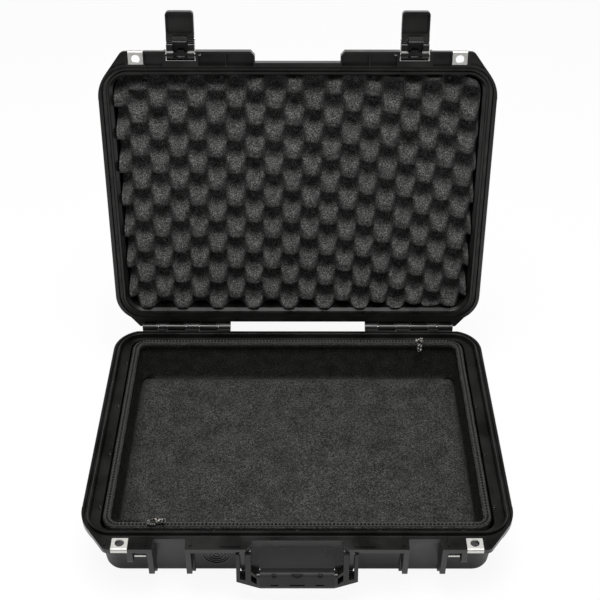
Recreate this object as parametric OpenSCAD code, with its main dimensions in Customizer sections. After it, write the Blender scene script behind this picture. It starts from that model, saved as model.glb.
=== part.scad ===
// Watertight carrying case with a hinged lid, two trigger latches and a folding handle.
// X runs to the right, Y to the back and Z up. The origin is on the ground under the middle of the base.
// Parts of the lid are drawn with the lid shut, and lid_pose() then swings them open.

/* [Case] */
// Half the straight length of the rim from side to side, between the corner centres
rim_x = 220; // [200:5:300]
// Half the straight length of the rim from front to back, between the corner centres
rim_y = 150; // [120:5:200]
// Height of the parting plane between base and lid above the ground
parting_z = 87.5; // [80:0.5:140]
// Height of the lid above the parting plane
lid_h = 45; // [42:1:70]
// Radius of the rim's outer edge at the corners
rim_r = 40; // [38:1:44]
// Height of the moulded feet
foot_h = 4.5; // [3:0.5:8]
// Angle through which the lid stands open
lid_open = 100; // [0:1:100]

/* [Hinge] */
// Distance from the corner centres at the back to the hinge axis
hinge_back = 49; // [47:1:55]
// Drop of the hinge axis below the parting plane
hinge_drop = 1.5; // [0:0.5:3]
// Radius of the hinge pins
hinge_pin_r = 2.2; // [1.5:0.1:2.5]
// Radius of the hinge knuckles
knuckle_r = 6.2; // [5:0.1:6.5]

/* [Latches] */
// Distance of each latch from the middle of the case
latch_x = 150.25; // [120:1:160]
// Width of a latch
latch_w = 36; // [30:1:37]
// Length of a latch from its pivot to the tip of its trigger
latch_len = 55; // [50:1:58]
// Angle through which the latches stand open from the shut position
latch_open = 90; // [0:1:90]

/* [Handle] */
// Distance of each handle pivot from the middle of the case
handle_x = 64; // [55:1:75]
// Length of the handle from its pivots to the far edge of the grip
handle_len = 47; // [45:1:50]
// Angle at which the folded handle leans out from the vertical
handle_lean = 18; // [10:1:25]

/* [Lining] */
// Height of the convoluted foam's crests above its troughs
crate_h = 19; // [10:1:22]
// Spacing of the crests along the case
crate_x = 51; // [40:1:60]
// Spacing of the crests from front to back
crate_y = 47; // [40:1:60]
// Width of the liner's top band
liner_band = 9.8; // [8:0.2:11]

/* [Hidden] */

$fn = 64;
gap = 0.3;                            // clearance between moving pieces
run = 0.05;                           // radial clearance of a running pin

shell_black = "#1c1c1c";
rubber_black = "#262624";
steel_grey = "#c9c9c6";
foam_grey = "#3a3a3a";

hinge_y = rim_y + hinge_back;
hinge_z = parting_z - hinge_drop;
base_back_y = hinge_y - 11;           // back edge of the base's rim
lid_back_y = hinge_y - 8;             // back edge of the lid's rim
wall_y = rim_y + 6.7;                 // corner centres of the base's walls, from the middle
shell_t = 6;                          // thickness of the base's walls at the top
wall_draft = 4;                       // how far the walls lean in towards the floor
floor_t = 4.5;                        // thickness of the base's floor
floor_z = foot_h + floor_t;           // top of the base's floor
wall_r = 16.5;                        // inner face of the base's walls, from the corner centres
ledge_drop = 5;                       // depth of the ledge inside the base's rim
rim_t = 8.5;                          // thickness of the rim

flange_y = rim_y + 55.5;              // front edge of both front flanges
flange_t = 6.5;                       // thickness of the base's front flange
bay_half = 19.25;                     // half the width of a latch bay
rib_t = 6.3;                          // thickness of the guard ribs beside a bay
ear_half = 20;                        // half the distance between the ears of a latch
ear_t = 5.5;                          // thickness of an ear
recess_half = 55;                     // half the width of the handle recess in the flanges
recess_y = rim_y + 42;                // front of the base's rim in the handle recess
recess_drop = 13;                     // depth of the rim in the handle recess

hasp_x = 207.9;                       // padlock plates, from the middle
hasp_y = rim_y + 45.5;                // padlock holes, from the middle
hasp_w = 19.2;                        // width of a padlock plate
hasp_t = 2;                           // thickness of a padlock plate
hasp_hole_r = 5.5;                    // radius of a padlock hole
hasp_depth = 17;                      // depth of a plate from its back edge to the flange's front edge

latch_y = -(rim_y + 49.2);            // latch pivot with the lid shut
latch_z = parting_z + 8.5;
latch_pin_r = 2;
barrel_r = 7.6;                       // radius of a latch's barrel
trigger_drop = 19.5;                  // trigger pin below the latch pivot
trigger_y = -1.5;                     // trigger pin, from the latch pivot
trigger_pin_r = 1.6;
trigger_knuckle = 9.3;                // half the width of the knuckle round the trigger pin
spring_half = 6;                      // half the length of the room for the trigger's spring
spring_r = 3;                         // outer radius of the spring

handle_y = -(rim_y + 47.5);
handle_z = parting_z - 15;
fork_len = 36.6;                      // length of the handle's forks from the pivots
handle_pin_r = 2.5;
grip_half = 44;                       // half the length of the grip
handle_half = 71.9;                   // half the width of the handle

valve_x = -97;
valve_z = 49;
valve_r = 17.7;
valve_face_y = -(wall_y + 21.3);      // seat of the valve on the front wall

liner_x = rim_x - 6;                  // corner centres of the liner, from the middle
liner_y = rim_y + 2;
liner_r = 19.6;                       // outer edge of the liner's top band, from those centres
liner_in = 13.2;                      // inner face of the liner's walls, from those centres
liner_top = parting_z - 2;
zip_r = 14.7;                         // line of the zipper, from those centres
zip_z = liner_top + 0.8;              // top of the zipper tape
slider_x = 173;                       // rest place of both sliders, from the middle
slider_h = 4.2;                       // height of a slider's body
bail_z = 5.9;                         // pivot of a pull, above the foot of its slider
bail_pin_r = 0.9;
pull_len = 17;                        // length of a pull from its pivot
lug_shift = 3.2;                      // shift of the back slider's lug towards the tub
pull_hang = 45;                       // angle at which the back pull hangs into the tub

// ---- shared geometry -------------------------------------------------------------------

// Sweeps a profile round a rectangle with round corners: its X is the distance out from the
// corner centres, and its Y is the height.
module ring(half_x, half_y) {
    for (k = [0:3]) {
        across = k % 2 == 0 ? half_x : half_y;
        along = k % 2 == 0 ? half_y : half_x;
        rotate([0, 0, 90 * k]) translate([across, along, 0]) {
            rotate([90, 0, 0]) linear_extrude(height = 2 * along) children();
            rotate_extrude(angle = 90, $fn = 96) children();
        }
    }
}

// Solid block whose round corners are r out from the corner centres.
module block(half_x, half_y, r, z0, z1) {
    for (k = [0:1])
        translate([-half_x - (1 - k) * r, -half_y - k * r, z0])
            cube([2 * (half_x + (1 - k) * r), 2 * (half_y + k * r), z1 - z0]);
    for (sx = [-1, 1], sy = [-1, 1])
        translate([sx * half_x, sy * half_y, z0]) cylinder(r = r, h = z1 - z0, $fn = 96);
}

// Points of an arc with centre c and radius r from angle a to angle b, in n steps.
function arc(c, r, a, b, n = 6) =
    [for (k = [0:n]) c + r * [cos(a + (b - a) * k / n), sin(a + (b - a) * k / n)]];

// Unit vector from p to q.
function toward(p, q) = (q - p) / norm(q - p);

// Points that round the corner p, between the points before and after it, to radius r.
function corner_arc(before, p, after, r, n = 6) =
    let (u = toward(p, before), v = toward(p, after),
         half = acos(u * v) / 2,
         c = p + toward([0, 0], u + v) * r / sin(half),
         a = atan2((p + u * r / tan(half) - c)[1], (p + u * r / tan(half) - c)[0]),
         b0 = atan2((p + v * r / tan(half) - c)[1], (p + v * r / tan(half) - c)[0]),
         b = b0 - a > 180 ? b0 - 360 : b0 - a < -180 ? b0 + 360 : b0)
    arc(c, r, a, b, n);

// Polygon through corners given as [x, y, radius].
function rounded(pts) =
    let (n = len(pts))
    [for (k = [0:n - 1])
        let (p = pts[k], q = pts[(k + n - 1) % n], s = pts[(k + 1) % n])
        each (p[2] > 0
            ? corner_arc([q[0], q[1]], [p[0], p[1]], [s[0], s[1]], p[2])
            : [[p[0], p[1]]])];

// Plate with round corners on its middle, w wide, d deep, t thick.
module plate(w, d, t, r) {
    linear_extrude(height = t) polygon(rounded([
        [-w / 2, -d / 2, r], [w / 2, -d / 2, r], [w / 2, d / 2, r], [-w / 2, d / 2, r]]));
}

// Extrudes a profile of [Y, Z] points along X, from x0 to x1.
module along_x(x0, x1, pts) {
    translate([x0, 0, 0]) rotate([90, 0, 90]) linear_extrude(height = x1 - x0) polygon(pts);
}

// Cylinder along X from x0 to x1.
module rod_x(x0, x1, r) {
    translate([x0, 0, 0]) rotate([0, 90, 0]) cylinder(r = r, h = x1 - x0);
}

// Swings the shut lid open round the hinge axis.
module lid_pose() {
    translate([0, hinge_y, hinge_z]) rotate([-lid_open, 0, 0])
        translate([0, -hinge_y, -hinge_z]) children();
}

// Plan of the front flange, with its cut corners.
module flange_plan() {
    polygon(rounded([
        [-rim_x - rim_r, -rim_y + 9, 0], [-rim_x - rim_r, -rim_y - 9.5, 50],
        [-rim_x - 6, -flange_y, 9], [rim_x + 6, -flange_y, 9],
        [rim_x + rim_r, -rim_y - 9.5, 50], [rim_x + rim_r, -rim_y + 9, 0]]));
}

// Front flange from z0 to z1, less the rim's own block, the latch bays and the handle recess, whose
// back is y from the middle.
module front_flange(z0, z1, y) {
    difference() {
        translate([0, 0, z0]) linear_extrude(height = z1 - z0) flange_plan();
        block(rim_x, rim_y, rim_r - 1.5, z0 - 1, z1 + 1);
        for (s = [-1, 1])
            translate([s * latch_x - bay_half, -flange_y - 1, z0 - 1])
                cube([2 * bay_half, flange_y - rim_y - rim_r + 1, z1 - z0 + 2]);
        translate([0, 0, z0 - 1]) linear_extrude(height = z1 - z0 + 2) polygon([
            [-recess_half - 6, -flange_y - 1], [-recess_half, -flange_y + 6],
            [-recess_half, -y], [recess_half, -y],
            [recess_half, -flange_y + 6], [recess_half + 6, -flange_y - 1]]);
    }
}

// Relief under the base's front flange, which the handle's cheeks swing up into.
module cheek_relief(s) {
    z = parting_z - 0.15 - flange_t;
    along_x(s > 0 ? recess_half - 2 : -handle_half - 1, s > 0 ? handle_half + 1 : 2 - recess_half, [
        [-flange_y - 1, z - 1], [-flange_y + 5.5, z - 1], [-flange_y + 5.5, z], [-flange_y - 1, z + 2.2]]);
}

// Space outside the cut front corners, from z0 to z1.
module beyond_corners(z0, z1) {
    translate([0, 0, z0]) linear_extrude(height = z1 - z0) difference() {
        translate([-300, -rim_y - 70]) square([600, 75]);
        flange_plan();
    }
}

// Hinge knuckle from x0 to x1, with an arm to the rim at y between the heights z0 and z1.
module knuckle(x0, x1, y, z0, z1) {
    translate([0, hinge_y, hinge_z]) rod_x(x0, x1, knuckle_r);
    along_x(x0, x1, [[y - 2, z0], [hinge_y, z0], [hinge_y + 2, hinge_z], [hinge_y, z1], [y - 2, z1]]);
}

// Places of the base's and the lid's knuckles on one side, from the middle outwards.
base_knuckles = [[97.4, 115], [142.4, 161.3], [189, 201.1]];
lid_knuckles = [[115.7, 141.7], [162, 188.3], [202.2, 223.9]];

// ---- base ------------------------------------------------------------------------------

// Outside of the base's walls and floor.
module wall_profile() {
    foot_r = wall_r + shell_t - wall_draft - 11.7;
    polygon(concat(
        [[0, foot_h]],
        arc([foot_r, foot_h + 10], 10, -90, 0),
        [[wall_r + shell_t, parting_z - rim_t - 5], [wall_r + shell_t + 3, parting_z - rim_t],
         [wall_r + shell_t + 3, parting_z - ledge_drop], [0, parting_z - ledge_drop]]));
}

// Inside of the base.
module cavity_profile() {
    polygon(concat(
        [[0, floor_z]],
        arc([wall_r - wall_draft - 4.7, floor_z + 5], 5, -90, 0),
        [[wall_r, parting_z - ledge_drop - 1], [wall_r, parting_z + 10], [0, parting_z + 10]]));
}

// Rim of the base, with the tongue that presses into the lid's gasket.
module rim_profile() {
    z = parting_z;
    polygon([
        [12, z - rim_t], [rim_r - 1.5, z - rim_t], [rim_r, z - rim_t + 1.5], [rim_r, z - 0.8],
        [rim_r - 0.7, z - 0.15], [rim_r - 3.3, z - 0.15], [rim_r - 4, z - 2.6],
        [33, z - 2.6], [32.4, z + 1.8], [31.8, z + 2.4], [30.1, z + 2.4], [29.5, z + 1.8],
        [28.6, z - ledge_drop], [12, z - ledge_drop]]);
}

// Rib beside a latch bay, which guards the latch, with a low ridge down the wall below it. The
// side towards the bay is at x, and s is -1 for the rib left of the bay.
module guard_rib(x, s) {
    z = parting_z - 47.5;
    along_x(s > 0 ? x : x - rib_t, s > 0 ? x + rib_t : x, rounded([
        [-rim_y - 20, parting_z - 6, 0], [-rim_y - 20, z, 0], [-flange_y + 0.5, z, 3],
        [-flange_y + 0.5, parting_z - 0.15 - flange_t / 2, 0],
        [-rim_y - 30, parting_z - 0.15 - flange_t / 2, 0]]));
    along_x(s > 0 ? x + 2.7 : x - rib_t, s > 0 ? x + rib_t : x - 2.7, [
        [-rim_y - 15, z + 1], [-rim_y - 29, z + 1], [-rim_y - 26.5, foot_h + 10],
        [-rim_y - 24.5, foot_h + 3.5], [-rim_y - 22, foot_h + 0.5], [-rim_y - 15, foot_h + 0.5]]);
}

// Boss rib that carries one handle pivot.
module handle_boss(s) {
    along_x(s * handle_x - 2.5, s * handle_x + 2.5, rounded([
        [-rim_y - 20, parting_z - flange_t + 1, 0], [-rim_y - 20, parting_z - 54, 0],
        [handle_y - 6, parting_z - 42, 5], [handle_y - 7, parting_z - 28, 3],
        [handle_y - 7, parting_z - flange_t + 1, 0]]));
}

// Moulded foot near a corner, a low pad with round corners.
module foot(sx, sy) {
    translate([sx * (rim_x - 30), sy * rim_y, 0]) plate(50, 24, foot_h + 1, 8);
}

module base_knuckle(s, span) {
    knuckle(s > 0 ? span[0] : -span[1], s > 0 ? span[1] : -span[0],
        base_back_y, parting_z - rim_t, parting_z - 0.3);
}

// Rib or pad on the base's flange, w wide, which stands in a pocket of the lid's flange.
module flange_rib(x, w, y0, y1) {
    translate([x - w / 2, -y1, parting_z - 1]) cube([w, y1 - y0, 2.5]);
}

module base_shell() color(shell_black) difference() {
    union() {
        difference() {
            union() {
                // the walls, which turn the corners on a larger radius than the cavity
                ring(rim_x - 6, wall_y - 6) translate([6, 0]) wall_profile();
                translate([-rim_x, -wall_y, foot_h])
                    cube([2 * rim_x, 2 * wall_y, parting_z - ledge_drop - foot_h]);
                ring(rim_x, rim_y) rim_profile();
            }
            translate([-300, base_back_y, parting_z - 20]) cube([600, 20, 30]);
            beyond_corners(parting_z - 20, parting_z + 10);
        }
        difference() {
            front_flange(parting_z - 0.15 - flange_t, parting_z - 0.15, recess_y);
            for (s = [-1, 1]) cheek_relief(s);
        }
        // face of the rim in the handle recess
        along_x(2 - recess_half, recess_half - 2, [
            [-rim_y - 38, parting_z - 6], [-recess_y, parting_z - 6],
            [-recess_y, parting_z - recess_drop], [-rim_y - 38, parting_z - recess_drop]]);
        // middle foot
        cylinder(r = 18, h = foot_h + 1);
        // flat boss that the valve sits on
        translate([valve_x, valve_face_y + 8, valve_z]) rotate([90, 0, 0])
            cylinder(r = valve_r + 1, h = 8);
        for (s = [-1, 1]) {
            for (o = [-1, 1]) guard_rib(s * latch_x + o * bay_half, o);
            handle_boss(s);
            for (span = base_knuckles) base_knuckle(s, span);
            for (sy = [-1, 1]) foot(s, sy);
            // stub rib that stiffens the flange beside the padlock plate
            along_x(s * 196.5 - 3.5, s * 196.5 + 3.5, rounded([
                [-rim_y - 20, parting_z - 5, 0], [-rim_y - 20, parting_z - 36, 0],
                [-flange_y + 2, parting_z - 27, 4], [-flange_y + 2, parting_z - 5, 0]]));
            for (x = [177.5, 124.9]) flange_rib(s * x, 2.8, rim_y + 37, rim_y + 50.5);
            flange_rib(s * 225, 2.8, rim_y + 39.5, rim_y + 49.5);
            flange_rib(s * 78.5, 24, rim_y + 37, rim_y + 52);
        }
    }
    ring(rim_x, wall_y) cavity_profile();
    translate([-rim_x, -wall_y, floor_z]) cube([2 * rim_x, 2 * wall_y, parting_z]);
    for (s = [-1, 1]) {
        // seat and hole of the padlock plate
        translate([s * hasp_x - hasp_w / 2 - 0.1, -flange_y - 1, parting_z - 0.15 - hasp_t])
            cube([hasp_w + 0.2, hasp_depth + 1.1, 10]);
        translate([s * hasp_x - hasp_w / 2 - 0.1, -flange_y - 1, parting_z - 6])
            cube([hasp_w + 0.2, hasp_t + 1, 10]);
        translate([s * hasp_x, -hasp_y, parting_z - 20]) cylinder(r = hasp_hole_r + 1, h = 30);
        // bores of the hinge pins and handle pins
        translate([0, hinge_y, hinge_z]) rod_x(s * 160 - 70, s * 160 + 70, hinge_pin_r);
        translate([0, handle_y, handle_z]) rod_x(s * handle_x - 10, s * handle_x + 10, handle_pin_r);
    }
    // seat and hole of the pressure valve
    translate([valve_x, valve_face_y, valve_z]) rotate([90, 0, 0]) {
        cylinder(r = valve_r + 0.3, h = 10);
        translate([0, 0, -20]) {
            cylinder(r = 8.2, h = 25);
            cylinder(r = 12, h = 15.4);
        }
    }
}

module hinge_pin(s) color(steel_grey)
    translate([0, hinge_y, hinge_z])
        rod_x(s > 0 ? 97.4 : -223.9, s > 0 ? 223.9 : -97.4, hinge_pin_r);

// Padlock plate in the base: a flat leaf with its front edge bent down over the flange.
module base_hasp(s) color(steel_grey) difference() {
    translate([s * hasp_x, 0, parting_z - 0.15]) along_x(-hasp_w / 2, hasp_w / 2, rounded([
        [-flange_y + hasp_depth, 0, 0], [-flange_y - 0.5, 0, 2.5],
        [-flange_y - 0.5, -5.5, 0], [-flange_y + hasp_t - 0.5, -5.5, 0],
        [-flange_y + hasp_t - 0.5, -hasp_t, 0.5], [-flange_y + hasp_depth, -hasp_t, 0]]));
    translate([s * hasp_x, -hasp_y, parting_z - 10]) cylinder(r = hasp_hole_r, h = 20);
}

// ---- handle ----------------------------------------------------------------------------

// Places a handle drawn hanging from its pivot axis, with X along the axis and Z up.
module handle_pose() {
    translate([0, handle_y, handle_z]) rotate([-handle_lean, 0, 0]) children();
}

// Crossbar that the grip is moulded round, to half its length.
module crossbar(half) {
    along_x(-half, half, rounded([
        [-4, -handle_len + 19, 2], [-4, -handle_len + 6, 2],
        [3, -handle_len + 6, 2], [3, -handle_len + 19, 2]]));
}

// Bar of the handle's arm: its outline is given as [X, Z] points on the right side, and it goes
// from the depth y to the back of the cheeks.
module arm_bar(s, y, pts) {
    translate([0, 4.5, 0]) rotate([90, 0, 0]) linear_extrude(height = 4.5 - y)
        polygon([for (p = pts) [s * p[0], p[1]]]);
}

// One end of the handle: two cheeks that straddle the boss rib, and an arm to the grip, which is a
// lower bar, a slanting upper bar, an end plate and a thin web behind the pocket between them.
module handle_fork(s) {
    inner = handle_x - 9.4;
    for (cheek = [[inner, handle_x - 2.9], [handle_x + 3.5, handle_half]]) {
        x0 = s > 0 ? cheek[0] : -cheek[1];
        x1 = s > 0 ? cheek[1] : -cheek[0];
        rod_x(x0, x1, 6.5);
        along_x(x0, x1, rounded([
            [-6.5, 0, 0], [-6.5, -fork_len, 2], [4.5, -fork_len, 2], [4.5, 0, 0]]));
    }
    arm_bar(s, -6.5, [
        [handle_half, -fork_len], [handle_half, -fork_len + 4.5], [inner, -fork_len + 1],
        [grip_half + 3.8, -handle_len + 6.5], [grip_half, -handle_len + 6.5],
        [grip_half, -handle_len + 1.5], [grip_half + 3.8, -handle_len + 2.5]]);
    arm_bar(s, -6.5, [
        [inner + 1, -handle_len + 25.5], [inner + 1, -handle_len + 21],
        [grip_half + 3.8, -handle_len + 15], [grip_half, -handle_len + 15],
        [grip_half + 3.8, -handle_len + 18.8]]);
    arm_bar(s, 2, [
        [handle_x + 4, -28.6], [handle_x - 3.4, -28.6], [inner + 0.5, -handle_len + 24],
        [grip_half, -handle_len + 17], [grip_half, -handle_len + 3], [handle_x + 4, -fork_len + 1]]);
    along_x(s > 0 ? grip_half : -grip_half - 3.8, s > 0 ? grip_half + 3.8 : -grip_half, rounded([
        [-7.5, -handle_len + 21, 4], [-7.5, -handle_len + 4.5, 3], [-4.5, -handle_len + 1, 3],
        [5, -handle_len + 1, 3], [5, -handle_len + 21, 4]]));
}

module handle_frame() color(shell_black) handle_pose() difference() {
    union() {
        for (s = [-1, 1]) handle_fork(s);
        crossbar(grip_half + 2);
    }
    for (s = [-1, 1]) rod_x(s * handle_x - 12, s * handle_x + 12, handle_pin_r + run);
}

module handle_grip() color(rubber_black) handle_pose() difference() {
    along_x(-grip_half, grip_half, rounded([
        [-9, -handle_len + 23.5, 4.5], [-9, -handle_len + 4.5, 3], [-5, -handle_len, 3],
        [6, -handle_len, 4], [6, -handle_len + 23.5, 5]]));
    crossbar(grip_half + 1);
    // round and long recesses at the upper front edge
    translate([0, -7.2, -handle_len + 24]) rotate([90, 0, 0]) cylinder(r = 6.9, h = 5);
    for (s = [-1, 1]) translate([s * 27.2, -7.2, -handle_len + 24]) rotate([90, 0, 0])
        plate(5.6, 14, 5, 2.5);
    // slots in the lower front edge
    for (x = [[-31.6, 9.6], [-9, 18], [22, 9.6]])
        translate([x[0], -10, -handle_len + 6.3]) cube([x[1], 3.4, 1.7]);
}

module handle_pin(s) color(steel_grey)
    translate([0, handle_y, handle_z]) rod_x(
        s > 0 ? handle_x - 7.5 : -handle_half + 0.5,
        s > 0 ? handle_half - 0.5 : -handle_x + 7.5, handle_pin_r);

// ---- pressure valve --------------------------------------------------------------------

// Places a valve part drawn along Z, with its face towards -Y.
module valve_pose() {
    translate([valve_x, valve_face_y, valve_z]) rotate([90, 0, 0]) children();
}

// Flanged body with a stem through the wall.
module valve_housing() color(shell_black) valve_pose() rotate_extrude(convexity = 4) polygon([
    [0, -6.8], [7, -6.8], [7, 1], [valve_r, 1], [valve_r, 3.4], [valve_r - 1, 4.4],
    [valve_r - 2, 4.4], [valve_r - 2.6, 3], [14.2, 3], [13.8, 4], [12.6, 4], [12.2, 3],
    [10.6, 3], [10.6, 2], [0, 2]]);

// Cap with concentric rings.
module valve_cap() color(shell_black) valve_pose() rotate_extrude(convexity = 4) polygon([
    [0, 2], [10.3, 2], [10.3, 4.2], [9.6, 4.8], [8.4, 4.8], [7.8, 3.6], [6.4, 3.6], [5.9, 4.6],
    [4.7, 4.6], [4.2, 3.6], [2.6, 3.6], [2.1, 4.4], [0, 4.4]]);

module valve_seal() color(rubber_black) valve_pose() rotate_extrude() polygon([
    [8.6, 0], [15.5, 0], [15.5, 1], [8.6, 1]]);

module valve_nut() color(shell_black) valve_pose() translate([0, 0, -6.27])
    difference() {
        cylinder(r = 11, h = 1.65, $fn = 6);
        translate([0, 0, -1]) cylinder(r = 7, h = 5);
    }

// ---- lid -------------------------------------------------------------------------------

lid_wall_r = 22;                      // inner face of the lid's walls, from the corner centres
lid_top_t = 4.5;                      // thickness of the lid's top
channel_h = 5.4;                      // depth of the gasket's channel

// Rim, wall and top edge of the lid.
module lid_profile() {
    z = parting_z;
    top = z + lid_h;
    polygon(concat(
        [[0, top - lid_top_t]],
        arc([lid_wall_r - 20 + lid_top_t, top - 20], 20 - lid_top_t, 90, 0),
        [[lid_wall_r, z + 8], [26, z + 5], [26, z + 0.3], [28.6, z + 0.3], [29, z + channel_h],
         [34.6, z + channel_h], [35, z + 0.15], [rim_r - 0.7, z + 0.15], [rim_r, z + 0.8],
         [rim_r, z + 6.5], [rim_r - 1.5, z + 8], [30.5, z + 8], [28, z + 12]],
        arc([7, top - 20], 20, 0, 90),
        [[0, top]]));
}

// Ear that carries one end of a latch pivot.
module latch_ear(x0) {
    translate([0, latch_y, latch_z]) rod_x(x0, x0 + ear_t, 5.5);
    along_x(x0, x0 + ear_t, [
        [latch_y - 5.5, latch_z], [latch_y - 5.5, parting_z + 1], [-rim_y - rim_r + 2, parting_z + 1],
        [-rim_y - rim_r + 2, latch_z + 5.5], [latch_y, latch_z + 5.5]]);
}

// Pocket of the depth h in the underside of the lid's front flange, from x0 to x1.
module flange_pocket(x0, x1, h) {
    translate([(x0 + x1) / 2, -rim_y - 44.5, parting_z - 1]) plate(x1 - x0, 16.4, h + 1, 1.5);
}

// Front flange of the lid, which is thinner at the latches' outer ends and at the padlock plates.
module lid_flange() {
    difference() {
        front_flange(parting_z + 0.15, parting_z + 10, rim_y + 40.8);
        for (s = [-1, 1], step = [[172, 6], [197.5, 4]])
            translate([s > 0 ? step[0] : -step[0] - 100, -flange_y - 1, parting_z + step[1]])
                cube([100, 60, 10]);
    }
}

// Hinge knuckle of the lid, with a pocket in its arm.
module lid_knuckle(s, span) {
    x0 = s > 0 ? span[0] : -span[1];
    difference() {
        knuckle(x0, x0 + span[1] - span[0], lid_back_y, parting_z + 0.3, parting_z + 8);
        translate([x0 + 1.8, lid_back_y, parting_z - 5])
            cube([span[1] - span[0] - 3.6, 3.4, 10]);
    }
}

// Strip behind the lid's rim that hoods the hinges on one side, with a slanting outer end.
module hinge_hood(s) {
    x0 = lid_knuckles[0][0] - 18.3;
    translate([0, 0, parting_z + 5.2]) linear_extrude(height = 2.8) polygon([
        [s * x0, base_back_y - 4], [s * x0, hinge_y], [s * 228, hinge_y], [s * 240.5, base_back_y - 4]]);
    translate([0, 0, parting_z + 0.3]) linear_extrude(height = 7.7) polygon([
        [s * 224.5, base_back_y - 4], [s * 224.5, hinge_y], [s * 228, hinge_y],
        [s * 240.5, base_back_y - 4]]);
}

// Lip and end blocks that close the lid's latch bay behind the latch's barrel.
module bay_lip(s) {
    translate([s * latch_x - bay_half, -rim_y - 43.1, parting_z + 0.15])
        cube([2 * bay_half, 5, 1.55]);
    for (x = [[-bay_half, -9], [9, bay_half]])
        translate([s * latch_x + x[0], -rim_y - 40.5, parting_z + 0.15])
            cube([x[1] - x[0], 3.5, 7.8]);
}

module lid_shell() color(shell_black) lid_pose() difference() {
    union() {
        difference() {
            union() {
                ring(rim_x, rim_y) lid_profile();
                translate([-rim_x, -rim_y, parting_z + lid_h - lid_top_t])
                    cube([2 * rim_x, 2 * rim_y, lid_top_t]);
            }
            beyond_corners(parting_z - 10, parting_z + 12);
        }
        // straight back edge of the rim
        translate([-234, rim_y + 36, parting_z + 0.15]) cube([468, lid_back_y - rim_y - 36, 7.85]);
        lid_flange();
        // raised panel on the top, with two long ribs beside it
        translate([0, 0, parting_z + lid_h - 1]) plate(330, 210, 3, 22);
        for (s = [-1, 1]) {
            translate([s * 191, 0, parting_z + lid_h - 1]) plate(26, 210, 3, 10);
            for (o = [-ear_half - ear_t, ear_half]) latch_ear(s * latch_x + o);
            bay_lip(s);
            for (span = lid_knuckles) lid_knuckle(s, span);
            hinge_hood(s);
        }
    }
    for (s = [-1, 1]) {
        // pockets, which take the base's ribs and pads when the lid is shut
        for (x = [[57, 91.6, 7.5], [93, 127.5, 7.5], [173.5, 196.6, 4.5]])
            flange_pocket(s > 0 ? x[0] : -x[1], s > 0 ? x[1] : -x[0], x[2]);
        translate([0, 0, parting_z - 1]) linear_extrude(height = 3.8) polygon([
            [s * 222.3, -rim_y - 38.3], [s * 231, -rim_y - 37], [s * 240.5, -rim_y - 32.6],
            [s * 229.5, -rim_y - 49.3], [s * 226, -rim_y - 52.3], [s * 222.3, -rim_y - 52.3]]);
        // seat and hole of the padlock plate
        translate([s * hasp_x - hasp_w / 2 - 0.1, -flange_y - 1, parting_z - 5])
            cube([hasp_w + 0.2, hasp_depth + 1.1, 5.15 + hasp_t]);
        translate([s * hasp_x - hasp_w / 2 - 0.1, -flange_y - 1, parting_z])
            cube([hasp_w + 0.2, hasp_t + 1, 7]);
        translate([s * hasp_x, -hasp_y, parting_z - 5]) cylinder(r = hasp_hole_r + 1, h = 30);
        // bores of the hinge pins and latch pins
        translate([0, hinge_y, hinge_z]) rod_x(s * 160 - 70, s * 160 + 70, hinge_pin_r + run);
        translate([0, latch_y, latch_z]) rod_x(s * latch_x - 26, s * latch_x + 26, latch_pin_r);
    }
}

// Soft gasket in the channel, which the base's tongue presses into.
module lid_gasket() color(rubber_black) lid_pose() ring(rim_x, rim_y) polygon([
    [29.4, parting_z + channel_h - 0.02], [34.2, parting_z + channel_h - 0.02], [34, parting_z + 3.2],
    [33.2, parting_z + 2.8], [30.2, parting_z + 2.8], [29.6, parting_z + 3.2]]);

// Padlock plate in the lid.
module lid_hasp(s) color(steel_grey) lid_pose() difference() {
    translate([s * hasp_x, 0, parting_z + 0.15]) along_x(-hasp_w / 2, hasp_w / 2, rounded([
        [-flange_y + hasp_depth, 0, 0], [-flange_y - 0.5, 0, 2.5],
        [-flange_y - 0.5, 4.5, 0], [-flange_y + hasp_t - 0.5, 4.5, 0],
        [-flange_y + hasp_t - 0.5, hasp_t, 0.5], [-flange_y + hasp_depth, hasp_t, 0]]));
    translate([s * hasp_x, -hasp_y, parting_z - 10]) cylinder(r = hasp_hole_r, h = 20);
}

// Convoluted foam that fills the lid: crests and troughs in a staggered grid, which is turned a
// little in the lid, kept off the front slider, and cut to the lid's round corners.
crest = [-14, rim_y + 12];            // a crest of the grid
grid_turn = 2;                        // turn of the grid
foam_r = lid_wall_r - 1.6;            // edge of the foam, from the corner centres
// Rings of the foam's rounded back: distance from the corner centres and depth below the lid's top
foam_back = [[foam_r, 15], [17.2, 9.5], [11.2, 5.6], [6, lid_top_t]];

function crate(x, y) =
    let (u = x - crest[0], v = y - crest[1])
    cos(360 * (u * cos(grid_turn) + v * sin(grid_turn)) / crate_x)
        * cos(360 * (v * cos(grid_turn) - u * sin(grid_turn)) / crate_y);

function foam_z(x, y) =
    let (z = parting_z + 2 + crate_h * (1 - crate(x, y)) / 2)
    x > -slider_x - 18 && x < -slider_x + 32 && y < -rim_y + 6 ? max(z, parting_z + 9) : z;

// Draws a coordinate of the foam's edge in to the distance r from the corner centres.
function drawn_in(v, half, r) =
    sign(v) * (min(abs(v), half) + max(0, abs(v) - half) * r / foam_r);

// Moves a point that lies outside a round corner of radius r onto the corner's arc.
function to_corner(x, y, r) =
    let (u = abs(x) - rim_x, v = abs(y) - rim_y, far = norm([u, v]))
    u > 0 && v > 0 && far > r
        ? [sign(x) * (rim_x + u * r / far), sign(y) * (rim_y + v * r / far)]
        : [x, y];

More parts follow.
